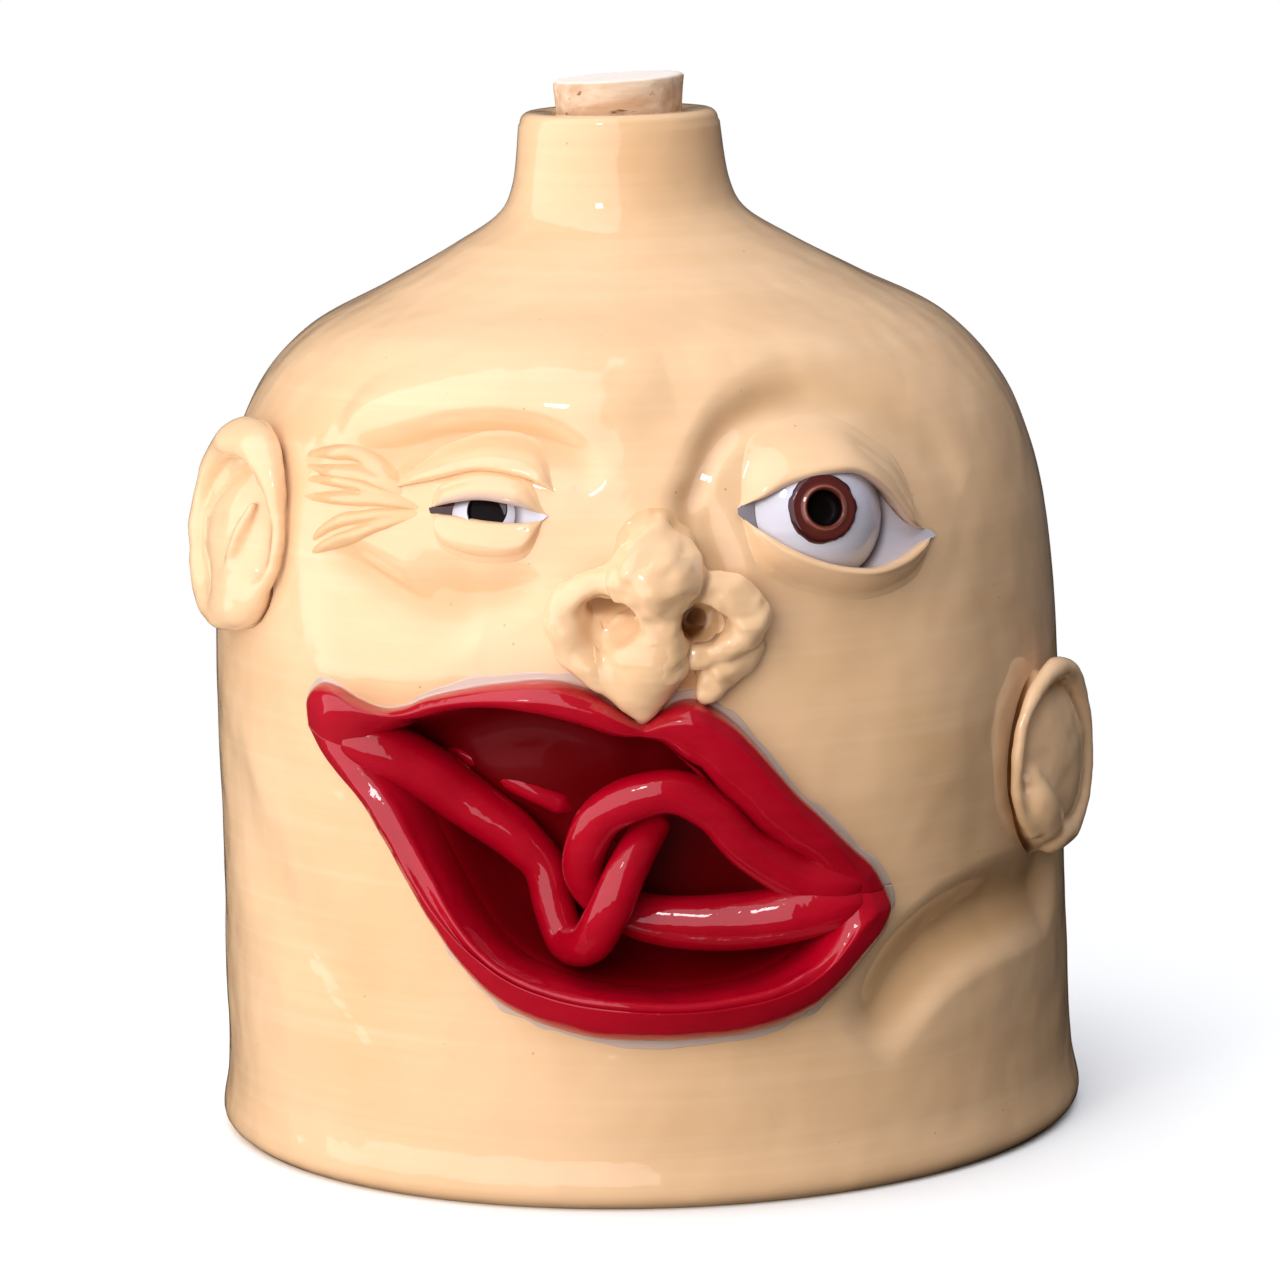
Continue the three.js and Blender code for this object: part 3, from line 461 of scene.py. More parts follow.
def fired_glaze(name, colour, pooled_and_shade, thin, speck, deep, slip_and_lid_shade=None, slow=0.0006, fine=0.00003, gloss=1.0):
    """Glaze over clay: a thin layer of glass, which gives a sharp mirror over a soft colour.

    The colour is deeper where the glaze pools, and where that is marked in hollows it also stands
    for their painted shade. It is paler where it runs thin on throwing lines, and darkened with
    painted shade in crevices. The slip tint is brushed slip, and on the clear glaze it is painted
    shade along the lids' rims. Slow and fine are the heights of its ripples in metres.
    """
    material = bpy.data.materials.new(name)
    tree = empty_tree(material)
    place = add_node(tree, "ShaderNodeTexCoord").outputs["Object"]
    # Thick and thin stretches are about 45 mm across
    cloud = add_node(tree, "ShaderNodeTexNoise", {"Vector": place, "Scale": 1 / 0.045, "Detail": 4.0})
    # Throwing lines are two or three millimetres apart, and run level round the jug
    level = add_node(tree, "ShaderNodeMapping", {"Vector": place, "Scale": (9, 9, 420)})
    lines = add_node(tree, "ShaderNodeTexNoise", {"Vector": level, "Scale": 1.0, "Detail": 3.0})
    # Specks are about half a millimetre across and 9 mm apart
    cells = add_node(tree, "ShaderNodeTexVoronoi", {"Vector": place, "Scale": 1 / 0.009})
    marks = {"pooled_and_shade": pooled_and_shade, "crevice_shade": deep, **({"slip_and_lid_shade": slip_and_lid_shade} if slip_and_lid_shade else {})}
    marked = [(tint, add_node(tree, "ShaderNodeAttribute", attribute_name=mark).outputs["Fac"])
              for mark, tint in marks.items()]
    tone = layered(tree, colour, (pooled_and_shade, cloud, 0.4, 0.75, 0.35), (thin, lines, 0.45, 0.75, 0.3),
                   (speck, cells, 0.04, 0.02, 0.5), *marked)
    # The glaze has a slow ripple of about 13 mm, and orange peel of 2.5 mm
    slow_wave = add_node(tree, "ShaderNodeTexNoise", {"Vector": place, "Scale": 1 / 0.013, "Detail": 1.0})
    peel = add_node(tree, "ShaderNodeTexNoise", {"Vector": place, "Scale": 1 / 0.0025, "Detail": 1.0})
    slow_bump = add_node(tree, "ShaderNodeBump", {"Height": slow_wave, "Distance": slow})
    peel_bump = add_node(tree, "ShaderNodeBump", {"Height": peel, "Distance": fine, "Normal": slow_bump})
    shader = add_node(tree, "ShaderNodeBsdfPrincipled", {
        "Base Color": tone, "Roughness": 0.5, "Specular IOR Level": 0.1, "Coat Weight": gloss,
        "Coat Roughness": 0.03, "Coat IOR": 1.65, "Normal": peel_bump, "Coat Normal": peel_bump})
    add_node(tree, "ShaderNodeOutputMaterial", {"Surface": shader})
    return material


# Lead-type clear glaze over buff clay: a warm honey colour. Its dark brown is painted shade in creases
# and holes, and its grey is painted shade along the lids' rims, under their overhang
clear_glaze = fired_glaze("clear_lead_glaze_on_buff_clay", "#ecc399", "#cf9f68", "#f1d0aa", "#8a5a30",
                          "#70421a", "#8c7a84")

# The grid of the wall is fine where the face is and coarse at the back
FACE_ANGLE = 82
FACE_STEP = 0.5
BACK_STEP = 2
ROW_STEP = 0.9
angles = np.concatenate([np.arange(-FACE_ANGLE, FACE_ANGLE, FACE_STEP),
                         np.arange(FACE_ANGLE, 360 - FACE_ANGLE, BACK_STEP)])
columns = len(angles)
around = np.radians(angles) * WALL_RADIUS
face_of = np.where(around > np.pi * WALL_RADIUS, around - 2 * np.pi * WALL_RADIUS, around)
foot_rows = FOOT_HEIGHT * np.array([0.01, 0.03, 0.07, 0.13, 0.2, 0.28, 0.38, 0.5, 0.63, 0.76, 0.88])
neck_rows = np.arange(NECK_HEIGHT, RIM_HEIGHT - RIM_ROUNDING, ROW_STEP)
wall_rows = np.concatenate([foot_rows, np.arange(FOOT_HEIGHT, NECK_HEIGHT, ROW_STEP), neck_rows])
along, up = np.meshgrid(face_of, wall_rows)
# The thrown wall is uneven by a few tenths of a millimetre, apart from the foot and the neck
hand = 0.28 * ripple(along, up, 19, 1) + 0.12 * ripple(along, up, 8, 2)
hand *= smoothstep(up, 8, 30) * (1 - smoothstep(up, 190, 215))
rings = [wall_point(along, up, hand)]


def level_ring(radius, up):
    """A ring of points about the leaning axis of the jug."""
    turn = np.radians(angles)
    level = np.full(columns, up)
    return np.stack([radius * np.sin(turn) - LEAN * up, -radius * np.cos(turn), level], -1)[None]


for turn in np.radians([0, 15, 30, 45, 60, 75, 90]):
    rings.append(level_ring(NECK_TOP_RADIUS - RIM_ROUNDING * (1 - np.cos(turn)),
                            RIM_HEIGHT - RIM_ROUNDING * (1 - np.sin(turn))))
# Inside, the surface goes down the tapered bore, follows the wall and crosses the floor
BORE_TOP = 15.6
BORE_FOOT = 13.2
BORE_LENGTH = 30
RIM_FLAT = 5.5
INSIDE_TOP = 200
INSIDE_FOOT = 16
INSIDE_STEP = 4
for radius, below in [[NECK_TOP_RADIUS - RIM_FLAT, 0], [BORE_TOP + 1.2, 0.2], [BORE_TOP + 0.3, 1],
                      [BORE_TOP, 3], [BORE_FOOT, BORE_LENGTH]]:
    rings.append(level_ring(radius, RIM_HEIGHT - below))
for height in np.arange(INSIDE_TOP, INSIDE_FOOT, -INSIDE_STEP):
    slope = (radius_at(height + INSIDE_STEP) - radius_at(height - INSIDE_STEP)) / (2 * INSIDE_STEP)
    rings.append(level_ring(radius_at(height) - WALL * np.hypot(1, slope), height))
for radius in [WALL_RADIUS - WALL - 8, 40, 0.5]:
    rings.append(level_ring(radius, FLOOR))
underside = [level_ring(radius, 0) for radius in (0.5, 70, WALL_RADIUS - 1)]
jug_points = np.concatenate(underside + rings).reshape(-1, 3)
jug_faces = grid_faces(len(jug_points) // columns, columns, closed=True)

# Lips: outer edge, inner edge, height, place of the crown and off of the inner edge
UPPER_LIP = [
    [-77, 29, -59.5, 24, 6, 0.5, 2],
    [-76, 35.5, -56, 26.5, 7, 0.5, 2],
    [-72, 38.5, -54, 28.5, 7, 0.5, 1],
    [-66, 38.3, -50, 30, 6.5, 0.5, 0],
    [-60, 36, -46, 31.5, 6, 0.5, 0],
    [-53, 34.4, -42, 32.5, 5.5, 0.5, 0],
    [-46.5, 35.5, -38, 33.6, 6, 0.5, 0],
    [-40.5, 38, -34, 34.8, 7, 0.5, 0],
    [-31, 40.5, -27, 35.8, 7.5, 0.5, 0],
    [-21.5, 42, -19, 35.2, 8, 0.5, 0],
    [-12.5, 42.5, -11, 33.5, 8, 0.48, 0],
    [-6, 41.5, -4, 31.4, 8, 0.45, 0],
    [-0.5, 39.2, 1, 29.5, 7.5, 0.4, 0],
    [4.5, 35.5, 5, 28.8, 6.5, 0.4, 0],
    [9, 32.5, 9.5, 28.5, 5, 0.4, 0],
    [13, 35, 13.5, 27, 6.5, 0.35, -1],
    [17, 37.2, 18, 23, 7.5, 0.3, -2],
    [21, 37.5, 22, 19.5, 8, 0.28, -3],
    [25, 35.5, 26, 14.5, 8, 0.28, -3.5],
    [30, 31.5, 30.5, 10, 8, 0.28, -4],
    [36, 24.5, 35, 5, 7.5, 0.3, -3.5],
    [42.5, 16, 40, 1, 7, 0.32, -3],
    [49.5, 8.3, 44.5, -1.5, 6.5, 0.36, -2],
    [57, 0.5, 48.5, -4.5, 6, 0.42, 0],
    [62.5, -5, 51, -7.5, 5.5, 0.5, 1],
    [66, -10.5, 52.5, -10.5, 5, 0.5, 2],
]
LOWER_LIP = [
    [-77, 29, -59.5, 24, 6, 0.5, 2],
    [-73.5, 24, -57, 21, 6, 0.5, 1],
    [-68.5, 19, -53, 17, 6, 0.5, 0],
    [-60.5, 12.5, -48.5, 11.5, 6.5, 0.5, 0],
    [-54, 4, -44, 3.5, 7, 0.5, 0],
    [-48, -5, -39.5, -4, 7.5, 0.5, 0],
    [-43, -13.5, -35, -11, 8, 0.58, 0],
    [-38, -20.5, -30.5, -17, 8.5, 0.72, 0],
    [-33, -26.5, -25.5, -21.8, 9, 0.82, 0],
    [-28, -31.5, -19.5, -25.5, 9, 0.82, 0],
    [-21.5, -35.5, -12, -28.2, 9, 0.82, 0],
    [-12, -39, -4.5, -30, 9, 0.82, 0],
    [-3, -41, 3.5, -31, 9, 0.82, 0],
    [8.5, -41.7, 11.5, -31.8, 9, 0.82, 0],
    [19.5, -41.7, 20, -31.8, 9, 0.82, 0],
    [30.5, -41, 28, -31, 9, 0.82, 0],
    [39.5, -39, 35, -29.8, 9, 0.82, 0],
    [47, -35.8, 41.5, -27.5, 9, 0.82, 0],
    [54, -30.5, 46.5, -24.5, 9, 0.82, 0],
    [60, -24.8, 50, -21, 8.5, 0.8, 0],
    [65, -20, 52, -17.5, 7.5, 0.71, 0],
    [67, -15, 52.7, -14, 6.5, 0.5, 1],
    [66, -10.5, 52.5, -10.5, 5, 0.53, 2],
]


def lip_line(share):
    """The closed line that runs round both lips at a share of the way from outer edge to inner edge."""
    upper = np.array([[mix(r[0], r[2], share), mix(r[1], r[3], share)] for r in UPPER_LIP])
    lower = np.array([[mix(r[0], r[2], share), mix(r[1], r[3], share)] for r in LOWER_LIP])
    return np.vstack([curve(upper, 90)[:-1], curve(lower, 90)[::-1][:-1]]) + MOUTH


# The wall is open behind the lips, where the pocket of the mouth goes through it
centres = jug_points[jug_faces].mean(1)
centre_along = np.arctan2(centres[:, 0] + LEAN * centres[:, 2], -centres[:, 1]) * WALL_RADIUS
outer = np.hypot(centres[:, 0], centres[:, 1]) > radius_at(centres[:, 2]) - 0.6 * WALL
in_mouth = inside(lip_line(0.5), centre_along, centres[:, 2])
behind_lips = inside(lip_line(-0.5), centre_along, centres[:, 2])
kept = ~np.where(outer, in_mouth, behind_lips)
wall_part = slice(len(underside) * columns, len(underside) * columns + along.size)
pooled_and_shade = np.zeros(len(jug_points))
# Glaze pools deeper in the pushed-in hollows, and this darkening also stands for their painted shade
pooled_and_shade[wall_part] = 0.5 * smoothstep(-relief(along, up), 0.8, 4).ravel()
# Painted shade in the crease by the right eye and behind the right nostril
crease = stroke_push(RIGHT_BROW_CREASE, along - RIGHT_EYE[0], up - RIGHT_EYE[1])
crease += stroke_push(RIGHT_NOSTRIL_FLOOR, along - NOSE[0], up - NOSE[1])
crevice_shade = np.zeros(len(jug_points))
crevice_shade[wall_part] = crease.ravel()
clay_piece("jug_body_thrown", jug_points, jug_faces[kept], clear_glaze, "clear_glaze", "jug_body",
           marks={"pooled_and_shade": pooled_and_shade, "crevice_shade": crevice_shade})

# Mouth lining
# The pocket of clay behind the opening, pinched out from behind the lips and glazed deep red. It
# shows only between the ropes of the tongue, where it hardly catches the light.
MOUTH_DEPTH = 24
PALATE_AT = (-32, 18)
PALATE_REACH = (28, 12)
PALATE_SWELL = 0.36
# From the floor of the pocket out to the opening, as shares of its depth and of the opening's size
POCKET_TURN = [
    [-1, 0.3], [-0.985, 0.62], [-0.95, 0.75], [-0.84, 0.85], [-0.66, 0.92], [-0.5, 0.96], [-0.25, 0.99],
    [0, 1],
]
# A deep, glassy red over pale slip, darker where it pools and in painted shade deep in the mouth,
# and hardly shiny down in the pocket
red_glaze = fired_glaze("crimson_glaze_on_slip", "#ae001c", "#640004", "#b8082c", "#5a0008", "#3a0002",
                        "#ccb3a6", fine=0.00009)
pocket_glaze = fired_glaze("crimson_glaze_deep_in_the_pocket", "#a80018", "#5c0003", "#ae0824", "#5a0008",
                           "#300002", gloss=0.05)
opening = lip_line(0.97) - MOUTH
depths, shares = curve(POCKET_TURN, 40).T
turned = opening[None] * np.concatenate([[0.01], shares])[:, None, None] + MOUTH
deep = MOUTH_DEPTH * np.concatenate([[-1], depths])[:, None] + np.zeros(len(opening))
# The roof of the pocket swells toward the lips at the upper left
from_palate = (turned - MOUTH - PALATE_AT) / PALATE_REACH
deep *= 1 - PALATE_SWELL * np.exp(-(from_palate**2).sum(-1))
# Painted shade darkens the pocket's red the deeper it goes
clay_piece("mouth_lining_pocket", wall_point(turned[..., 0], turned[..., 1], deep),
           grid_faces(len(deep), len(opening), closed=True), pocket_glaze, "red_glaze", "mouth_lining",
           marks={"pooled_and_shade": 0.9 * smoothstep(-deep, 1, 14)})

# Lips
# Two rolls of clay pressed on round the opening, thumbed down at the corners, under crimson glaze.
# The white slip they were brushed with shows as a thin pale line on the wall round them.
LIP_STEPS = 330
LIP_STEEPNESS = 0.3
SLIP_WIDTH = 1.6


def capped(loops):
    """Points and faces of a row of loops, closed at both ends."""
    rows, count = loops.shape[:2]
    faces = grid_faces(rows, count, closed=True).tolist()
    faces += [list(range(count)), [(rows - 1) * count + k for k in range(count)]]
    return loops.reshape(-1, 3), faces


def pressed_strip(at, rows, sections, unevenness, seed, drawn=0.07):
    """A strip of clay on the wall: rows give its two edges, and sections the loop across it at each row.

    Drawn is how deep the marks are that a finger leaves along it. With its points and faces come
    the off and the share of the way across of each point.
    """
    loops = []
    shares = []
    for place, ((a, b, c, d), section) in enumerate(zip(rows[:, :4], sections)):
        share, off = curve(section, 60, closed=True).T
        along = mix(a, c, share) + at[0]
        rise = mix(b, d, share) + at[1]
        shares.append(share)
        marks = drawn * ripple(11 * share + 20, place / 28 + 0 * share, 1, seed + 50)
        loops.append([along, rise, off + (unevenness * ripple(along, rise, 6, seed) + marks) * (off > 0.5)])
    along, rise, off = np.array(loops).transpose(1, 0, 2)
    return *capped(wall_point(along, rise, off)), off, np.array(shares)


def lip(name, stations, node, bead):
    """A roll of clay round the opening, with or without a fine bead along its inner edge."""
    rows = curve(stations, LIP_STEPS)
    sections = []
    for at, (a, b, c, d, height, crown, inner) in enumerate(rows):
        skirt = -SLIP_WIDTH * (1 + 0.35 * ripple(at, 0, 9, 6)) / np.hypot(c - a, d - b)
        outside = [[skirt, -0.8], [skirt, 0.14], [0.5 * skirt, 0.2], [-0.01, 0.3], [0.04, 0.35 * height],
                   [0.35 * crown, 0.35**LIP_STEEPNESS * height],
                   [0.7 * crown, 0.7**LIP_STEEPNESS * height], [crown, height]]
        rolled = [[mix(crown, 1, 0.45), mix(inner, height, 0.86)],
                  [mix(crown, 1, 0.8), mix(inner, height, 0.5)], [1, inner]]
        beaded = [[0.7, 0.87 * height], [0.9, 0.93 * height], [1.01, 0.6 * height]]
        share = bead * smoothstep(min(at, LIP_STEPS - at), 0, 0.3 * LIP_STEPS)
        inside_edge = mix(np.array(rolled), np.array(beaded), share).tolist()
        sections.append(outside + inside_edge + [[1.04, -3], [1.02, -9], [0.95, -9.5], [0.5, -6], [0.1, -4]])
    points, faces, off, share = pressed_strip(MOUTH, rows, sections, 0.22, 5, drawn=0.05)
    bare = (1 - smoothstep(off, 0.3, 1.1)) * (share < 0.1)
    # The red darkens the lower the roll lies: glaze pooled at its foot, and painted shade down into the
    # pocket
    clay_piece(name, points, faces, red_glaze, "red_glaze", node,
               marks={"slip_and_lid_shade": bare, "pooled_and_shade": 0.6 * smoothstep(-off, -2, 6)})


lip("upper_lip_roll", UPPER_LIP, "upper_lip", bead=False)
lip("lower_lip_roll", LOWER_LIP, "lower_lip", bead=True)

# Tongue
# Two ropes of rolled clay, hooked through each other, and a thin strand behind them, as rows of
# [along, up, off, radius] from the middle of the mouth. They are luted on and glazed with the lips.
LEFT_ROPE = [
    [-67, 28, 1, 4], [-60, 25, -1, 6.6], [-50, 18.5, -7.5, 7], [-42, 12.5, -12, 6.6],
    [-35, 7.5, -14.5, 6.2], [-26, 1, -16.5, 5.6], [-20, -5, -17.5, 5], [-17, -14, -16, 4.9],
    [-13, -21.5, -13.5, 4.9], [-6, -20.5, -7, 5], [-0.5, -12, -3, 5], [4, -3, -4, 4.8],
    [9, 4, -9.5, 4.4], [13.5, 9.5, -14, 4],
]
RIGHT_LOOP = [
    [62, -9, 0, 3.5], [55, -8.3, -0.5, 6], [47, -6.5, -3.5, 6.5], [40, -3, -4, 6], [32.5, 2, -4, 5.4],
    [25, 10.5, -4, 5.2], [16.5, 15, -4, 5.2], [7, 14, -4.5, 5.2], [-1.5, 9.5, -5.5, 5.2],
    [-6, 2, -7.5, 5.2], [-7, -5.5, -11, 5], [-2, -12.5, -15, 5], [7, -16, -14.5, 5.6],
    [20.5, -17.5, -12, 6.4], [34.5, -17, -8, 6.8], [46, -14.7, -3.5, 6.8], [55, -12.8, 0, 5.8],
    [62, -11.8, 1, 3.6],
]
PALATE_RIDGE = [
    [-52, 23, -18.6, 2.6], [-44, 20.5, -18.8, 3.2], [-36, 18, -18.8, 3.3], [-28, 15, -19, 3.3],
    [-20, 11.5, -20.4, 3.1], [-12, 7.5, -23, 3],
]


def tube(stations, steps, sides=28):
    """A rolled rope of clay in the mouth through stations of place, off and radius."""
    rows = curve(stations, steps)
    line = wall_point(rows[:, 0] + MOUTH[0], rows[:, 1] + MOUTH[1], rows[:, 2])
    along_line = np.gradient(line, axis=0)
    along_line /= np.linalg.norm(along_line, axis=1, keepdims=True)
    angle = (rows[:, 0] + MOUTH[0]) / WALL_RADIUS
    out = np.stack([np.sin(angle), -np.cos(angle), 0 * angle], -1)
    out -= (out * along_line).sum(1, keepdims=True) * along_line
    out /= np.linalg.norm(out, axis=1, keepdims=True)
    side = np.cross(along_line, out)
    turn = np.linspace(0, 2 * np.pi, sides, endpoint=False)
    radius = rows[:, 3][:, None] * (1 + 0.035 * ripple(*np.meshgrid(4 * turn, np.arange(steps)), 9, 7))
    from_end = np.minimum(np.arange(steps), np.arange(steps)[::-1])
    radius *= np.sqrt(np.clip(from_end / 6, 0.02, 1))[:, None]
    ring = np.cos(turn)[None, :, None] * out[:, None] + np.sin(turn)[None, :, None] * side[:, None]
    return capped(line[:, None] + radius[:, :, None] * ring)


clay_piece("tongue_left_rope_rolled", *tube(LEFT_ROPE, 150), red_glaze, "red_glaze", "tongue_left_rope")
clay_piece("tongue_right_loop_rolled", *tube(RIGHT_LOOP, 170), red_glaze, "red_glaze", "tongue_right_loop")
clay_piece("palate_ridge_strand", *tube(PALATE_RIDGE, 60, 20), red_glaze, "red_glaze", "palate_ridge")

# Nose
# An unsmoothed lump of clay with two coils for the wings, thumbed on, and a wedge down to the lip.
# Places are [along, up, off] from the middle of the nose. A rope has its radius at each place, and
# a ball is a place and three radii.
NOSE_BULB = [[0.8, 11, 6.5], [11.4, 8.4, 11]]
NOSE_BRIDGE = [[0, 18.5, -4, 5], [1.5, 16, 1, 6.2], [2, 14, 4, 7]]
COLUMELLA = [[1.8, 6, 8, 5.5], [2, -1, 7.5, 5], [0.5, -8, 5, 6.5]]
NOSE_PAD = [[-0.5, -2, -1], [21, 12.5, 6]]
LEFT_NOSTRIL = [[-9.6, 1.8, 9.5], [6.6, 6.2, 6]]
LEFT_NOSTRIL_CORNER = [[-12.5, 4.5, 3.6, 2], [-8.5, 6, 2.4, 3], [-4.5, 4.6, 4, 2]]
LEFT_NOSTRIL_STRANDS = [[[-13, -0.5, 2.6, 0.7], [-9, -1.8, 3, 0.9], [-5, 0.2, 3.6, 0.8]],
                        [[-11, -5, 3.2, 0.6], [-8, -3.2, 3.1, 0.8], [-5.5, -3.8, 3.6, 0.7]]]
RIGHT_NOSTRIL = [[10.8, 0.5, -2, 4.2], [10.5, -1, 14, 5]]
RIGHT_NOSTRIL_DARK = [[9.2, 0.3, -2, 3.4], [8.9, -1, 14, 4.4]]
LEFT_WING = [
    [-6.5, 10.5, 7, 3.4], [-13, 9.2, 6.4, 4.4], [-18.2, 5, 5, 4.9], [-19, -0.5, 4, 4.9],
    [-16.3, -6.5, 3.5, 4.6], [-11.5, -11, 3.2, 4.3], [-6, -14.5, 3, 4],
]
RIGHT_WING = [
    [8.5, 8, 7, 3.2], [14.5, 8, 6.5, 4], [19.5, 4.5, 5.5, 4.7], [21.2, -0.5, 4.5, 4.6],
    [19, -4, 4.2, 3.4], [14.5, -6.4, 4.5, 2.7], [9.5, -7.5, 4.5, 2.8],
]
RIGHT_WING_LOBE = [
    [23.5, -6.5, 1.8, 2.4], [19, -9.6, 2.4, 3.2], [13.5, -12.5, 2.6, 3.8], [11.5, -17, 2, 2.6],
]
WEDGE = [[-2, -8, 3, 9], [-3, -14, 2.5, 6.8], [-3.2, -19.5, 2, 3], [-3.2, -22, 1.5, 1.2]]
LUMP_STEP = 0.6
# A smear is this thick on the wall and on a neighbour, ends this far past the fillet, and roots this deep
WALL_SMEAR = 0.15
NEIGHBOUR_SMEAR = 0.12
SMEAR_REACH = 0.6
ROOT_DEPTH = 1.2
NO_NEIGHBOUR = 9.0  # further off than any smear reaches


def ball_distance(at, ball):
    """Distance from a squashed ball of centre and radii, less than nothing inside it."""
    centre, radii = np.array(ball)
    away = (at - centre) / radii
    length = np.linalg.norm(away, axis=-1) + 1e-9
    return length * (length - 1) / (np.linalg.norm(away / radii, axis=-1) + 1e-9)


def rope_distance(at, stations):
    """Distance from a rolled rope through stations of place, off and radius."""
    rows = curve(stations, 5 * len(stations))
    nearest = np.full(at.shape[:-1], np.inf)
    for a, b in zip(rows[:-1], rows[1:]):
        step = b[:3] - a[:3]
        share = np.clip((at - a[:3]) @ step / (step @ step), 0, 1)
        away = np.linalg.norm(at - a[:3] - share[..., None] * step, axis=-1)
        nearest = np.minimum(nearest, away - mix(a[3], b[3], share))
    return nearest


def melt(a, b, fillet):
    """Two shapes pressed together, with clay smeared into the join."""
    share = np.clip(0.5 + 0.5 * (b - a) / fillet, 0, 1)
    return mix(b, a, share) - fillet * share * (1 - share)


def carve(shape, tool, fillet):
    return -melt(-shape, tool, fillet)


def block(low, high, step=LUMP_STEP):
    """Places on a grid that fills a box."""
    return np.stack(np.meshgrid(*(np.arange(a, b, step) for a, b in zip(low, high)), indexing="ij"), -1)


def skin(at, field):
    """Points and quads of the surface where a field of distances is nothing."""
    solid = field < 0
    crossings = np.zeros([n - 1 for n in field.shape] + [3])
    count = np.zeros(crossings.shape[:3])
    corners = (slice(0, -1), slice(1, None))
    changes = []
    for axis in range(3):
        near = [slice(None)] * 3
        far = [slice(None)] * 3
        near[axis] = slice(0, -1)
        far[axis] = slice(1, None)
        a = field[tuple(near)]
        b = field[tuple(far)]
        change = solid[tuple(near)] != solid[tuple(far)]
        share = np.where(change, a / np.where(change, a - b, 1), 0)
        place = mix(at[tuple(near)], at[tuple(far)], share[..., None]) * change[..., None]
        changes.append((change, solid[tuple(near)]))
        others = [k for k in range(3) if k != axis]
        for first in corners:
            for second in corners:
                window = [slice(None)] * 3
                window[others[0]] = first
                window[others[1]] = second
                crossings += place[tuple(window)]
                count += change[tuple(window)]
    used = count > 0
    index = np.cumsum(used).reshape(used.shape) - 1
    points = crossings[used] / count[used][:, None]
    faces = []
    for axis, (change, from_solid) in enumerate(changes):
        u, v = [(1, 2), (2, 0), (0, 1)][axis]
        where = np.argwhere(change)
        limit = np.array(index.shape)
        within = [(where[:, k] > 0) & (where[:, k] < limit[k]) for k in (u, v)]
        where = where[within[0] & within[1]]
        back_u = np.eye(3, dtype=int)[u]
        back_v = np.eye(3, dtype=int)[v]
        corner_cells = (where, where - back_u, where - back_u - back_v, where - back_v)
        quad = np.stack([index[tuple(cells.T)] for cells in corner_cells], -1)
        flipped = ~from_solid[tuple(where.T)]
        quad[flipped] = quad[flipped, ::-1]
        faces.append(quad)
    return points, np.concatenate(faces)


def relax(points, faces, rounds):
    """Points drawn toward their neighbours, as a damp sponge would."""
    a = np.concatenate([faces.ravel(), np.roll(faces, -1, 1).ravel()])
    b = np.concatenate([np.roll(faces, -1, 1).ravel(), faces.ravel()])
    many = np.bincount(a, minlength=len(points))[:, None]
    for _ in range(rounds):
        total = np.stack([np.bincount(a, points[b, k], len(points)) for k in range(3)], -1)
        points = mix(points, total / many, 0.5)
    return points


def sample(at, field, points):
    """The values of a field at places near its grid."""
    low = at[0, 0, 0]
    step = at[1, 0, 0, 0] - at[0, 0, 0, 0]
    place = np.clip((points - low) / step, 0, np.array(field.shape) - 1.001)
    start = place.astype(int)
    part = place - start
    total = 0
    for corner in np.ndindex(2, 2, 2):
        total = total + np.prod(np.where(corner, part, 1 - part), -1) * field[tuple((start + corner).T)]
    return total


def modelled_piece(name, anchor, at, shape, fillet, node, beside=None, rough=0.3, seed=11, rounds=3, seam=0,
                   holes=(), foot=None):
    """A lump of hand-modelled clay, smeared on to the wall and into the shape beside it.

    It is darkened with painted shade at its seam with that shape, in holes of a share and a shape,
    and where foot says along its lower edge. Near the wall its glaze pools darker, which also stands
    for painted shade where it meets the wall.
    """
    if beside is None:
        beside = np.full(shape.shape, NO_NEIGHBOUR)
    ground = np.minimum(at[..., 2] + WALL_SMEAR, beside + NEIGHBOUR_SMEAR)
    across = at[..., 0] + 0.7 * at[..., 2]
    upward = at[..., 1] + 0.7 * at[..., 2]
    worked = shape + rough * (ripple(across, upward, 5, seed) + 0.4 * ripple(across, upward, 2, seed + 1))
    field = np.maximum(melt(worked, ground, fillet), shape - fillet - SMEAR_REACH)
    field = np.maximum(field, -ROOT_DEPTH - at[..., 2])
    points, faces = skin(at, field)
    points = relax(points, faces, rounds)
    crevice_shade = seam * (1 - smoothstep(sample(at, beside, points), -0.2, 1.1))
    for share, hole in holes:
        crevice_shade = np.maximum(crevice_shade, share * (1 - smoothstep(sample(at, hole, points), -0.8, 0.6)))
    if foot is not None:
        crevice_shade = np.maximum(crevice_shade, foot(points) * (1 - smoothstep(points[:, 2], 0.3, 1.6)))
    placed = wall_point(points[:, 0] + anchor[0], points[:, 1] + anchor[1], points[:, 2])
    clay_piece(name, placed, faces, clear_glaze, "clear_glaze", node,
               marks={"pooled_and_shade": 0.5 * (1 - smoothstep(points[:, 2], 0.2, 3)), "crevice_shade": crevice_shade})


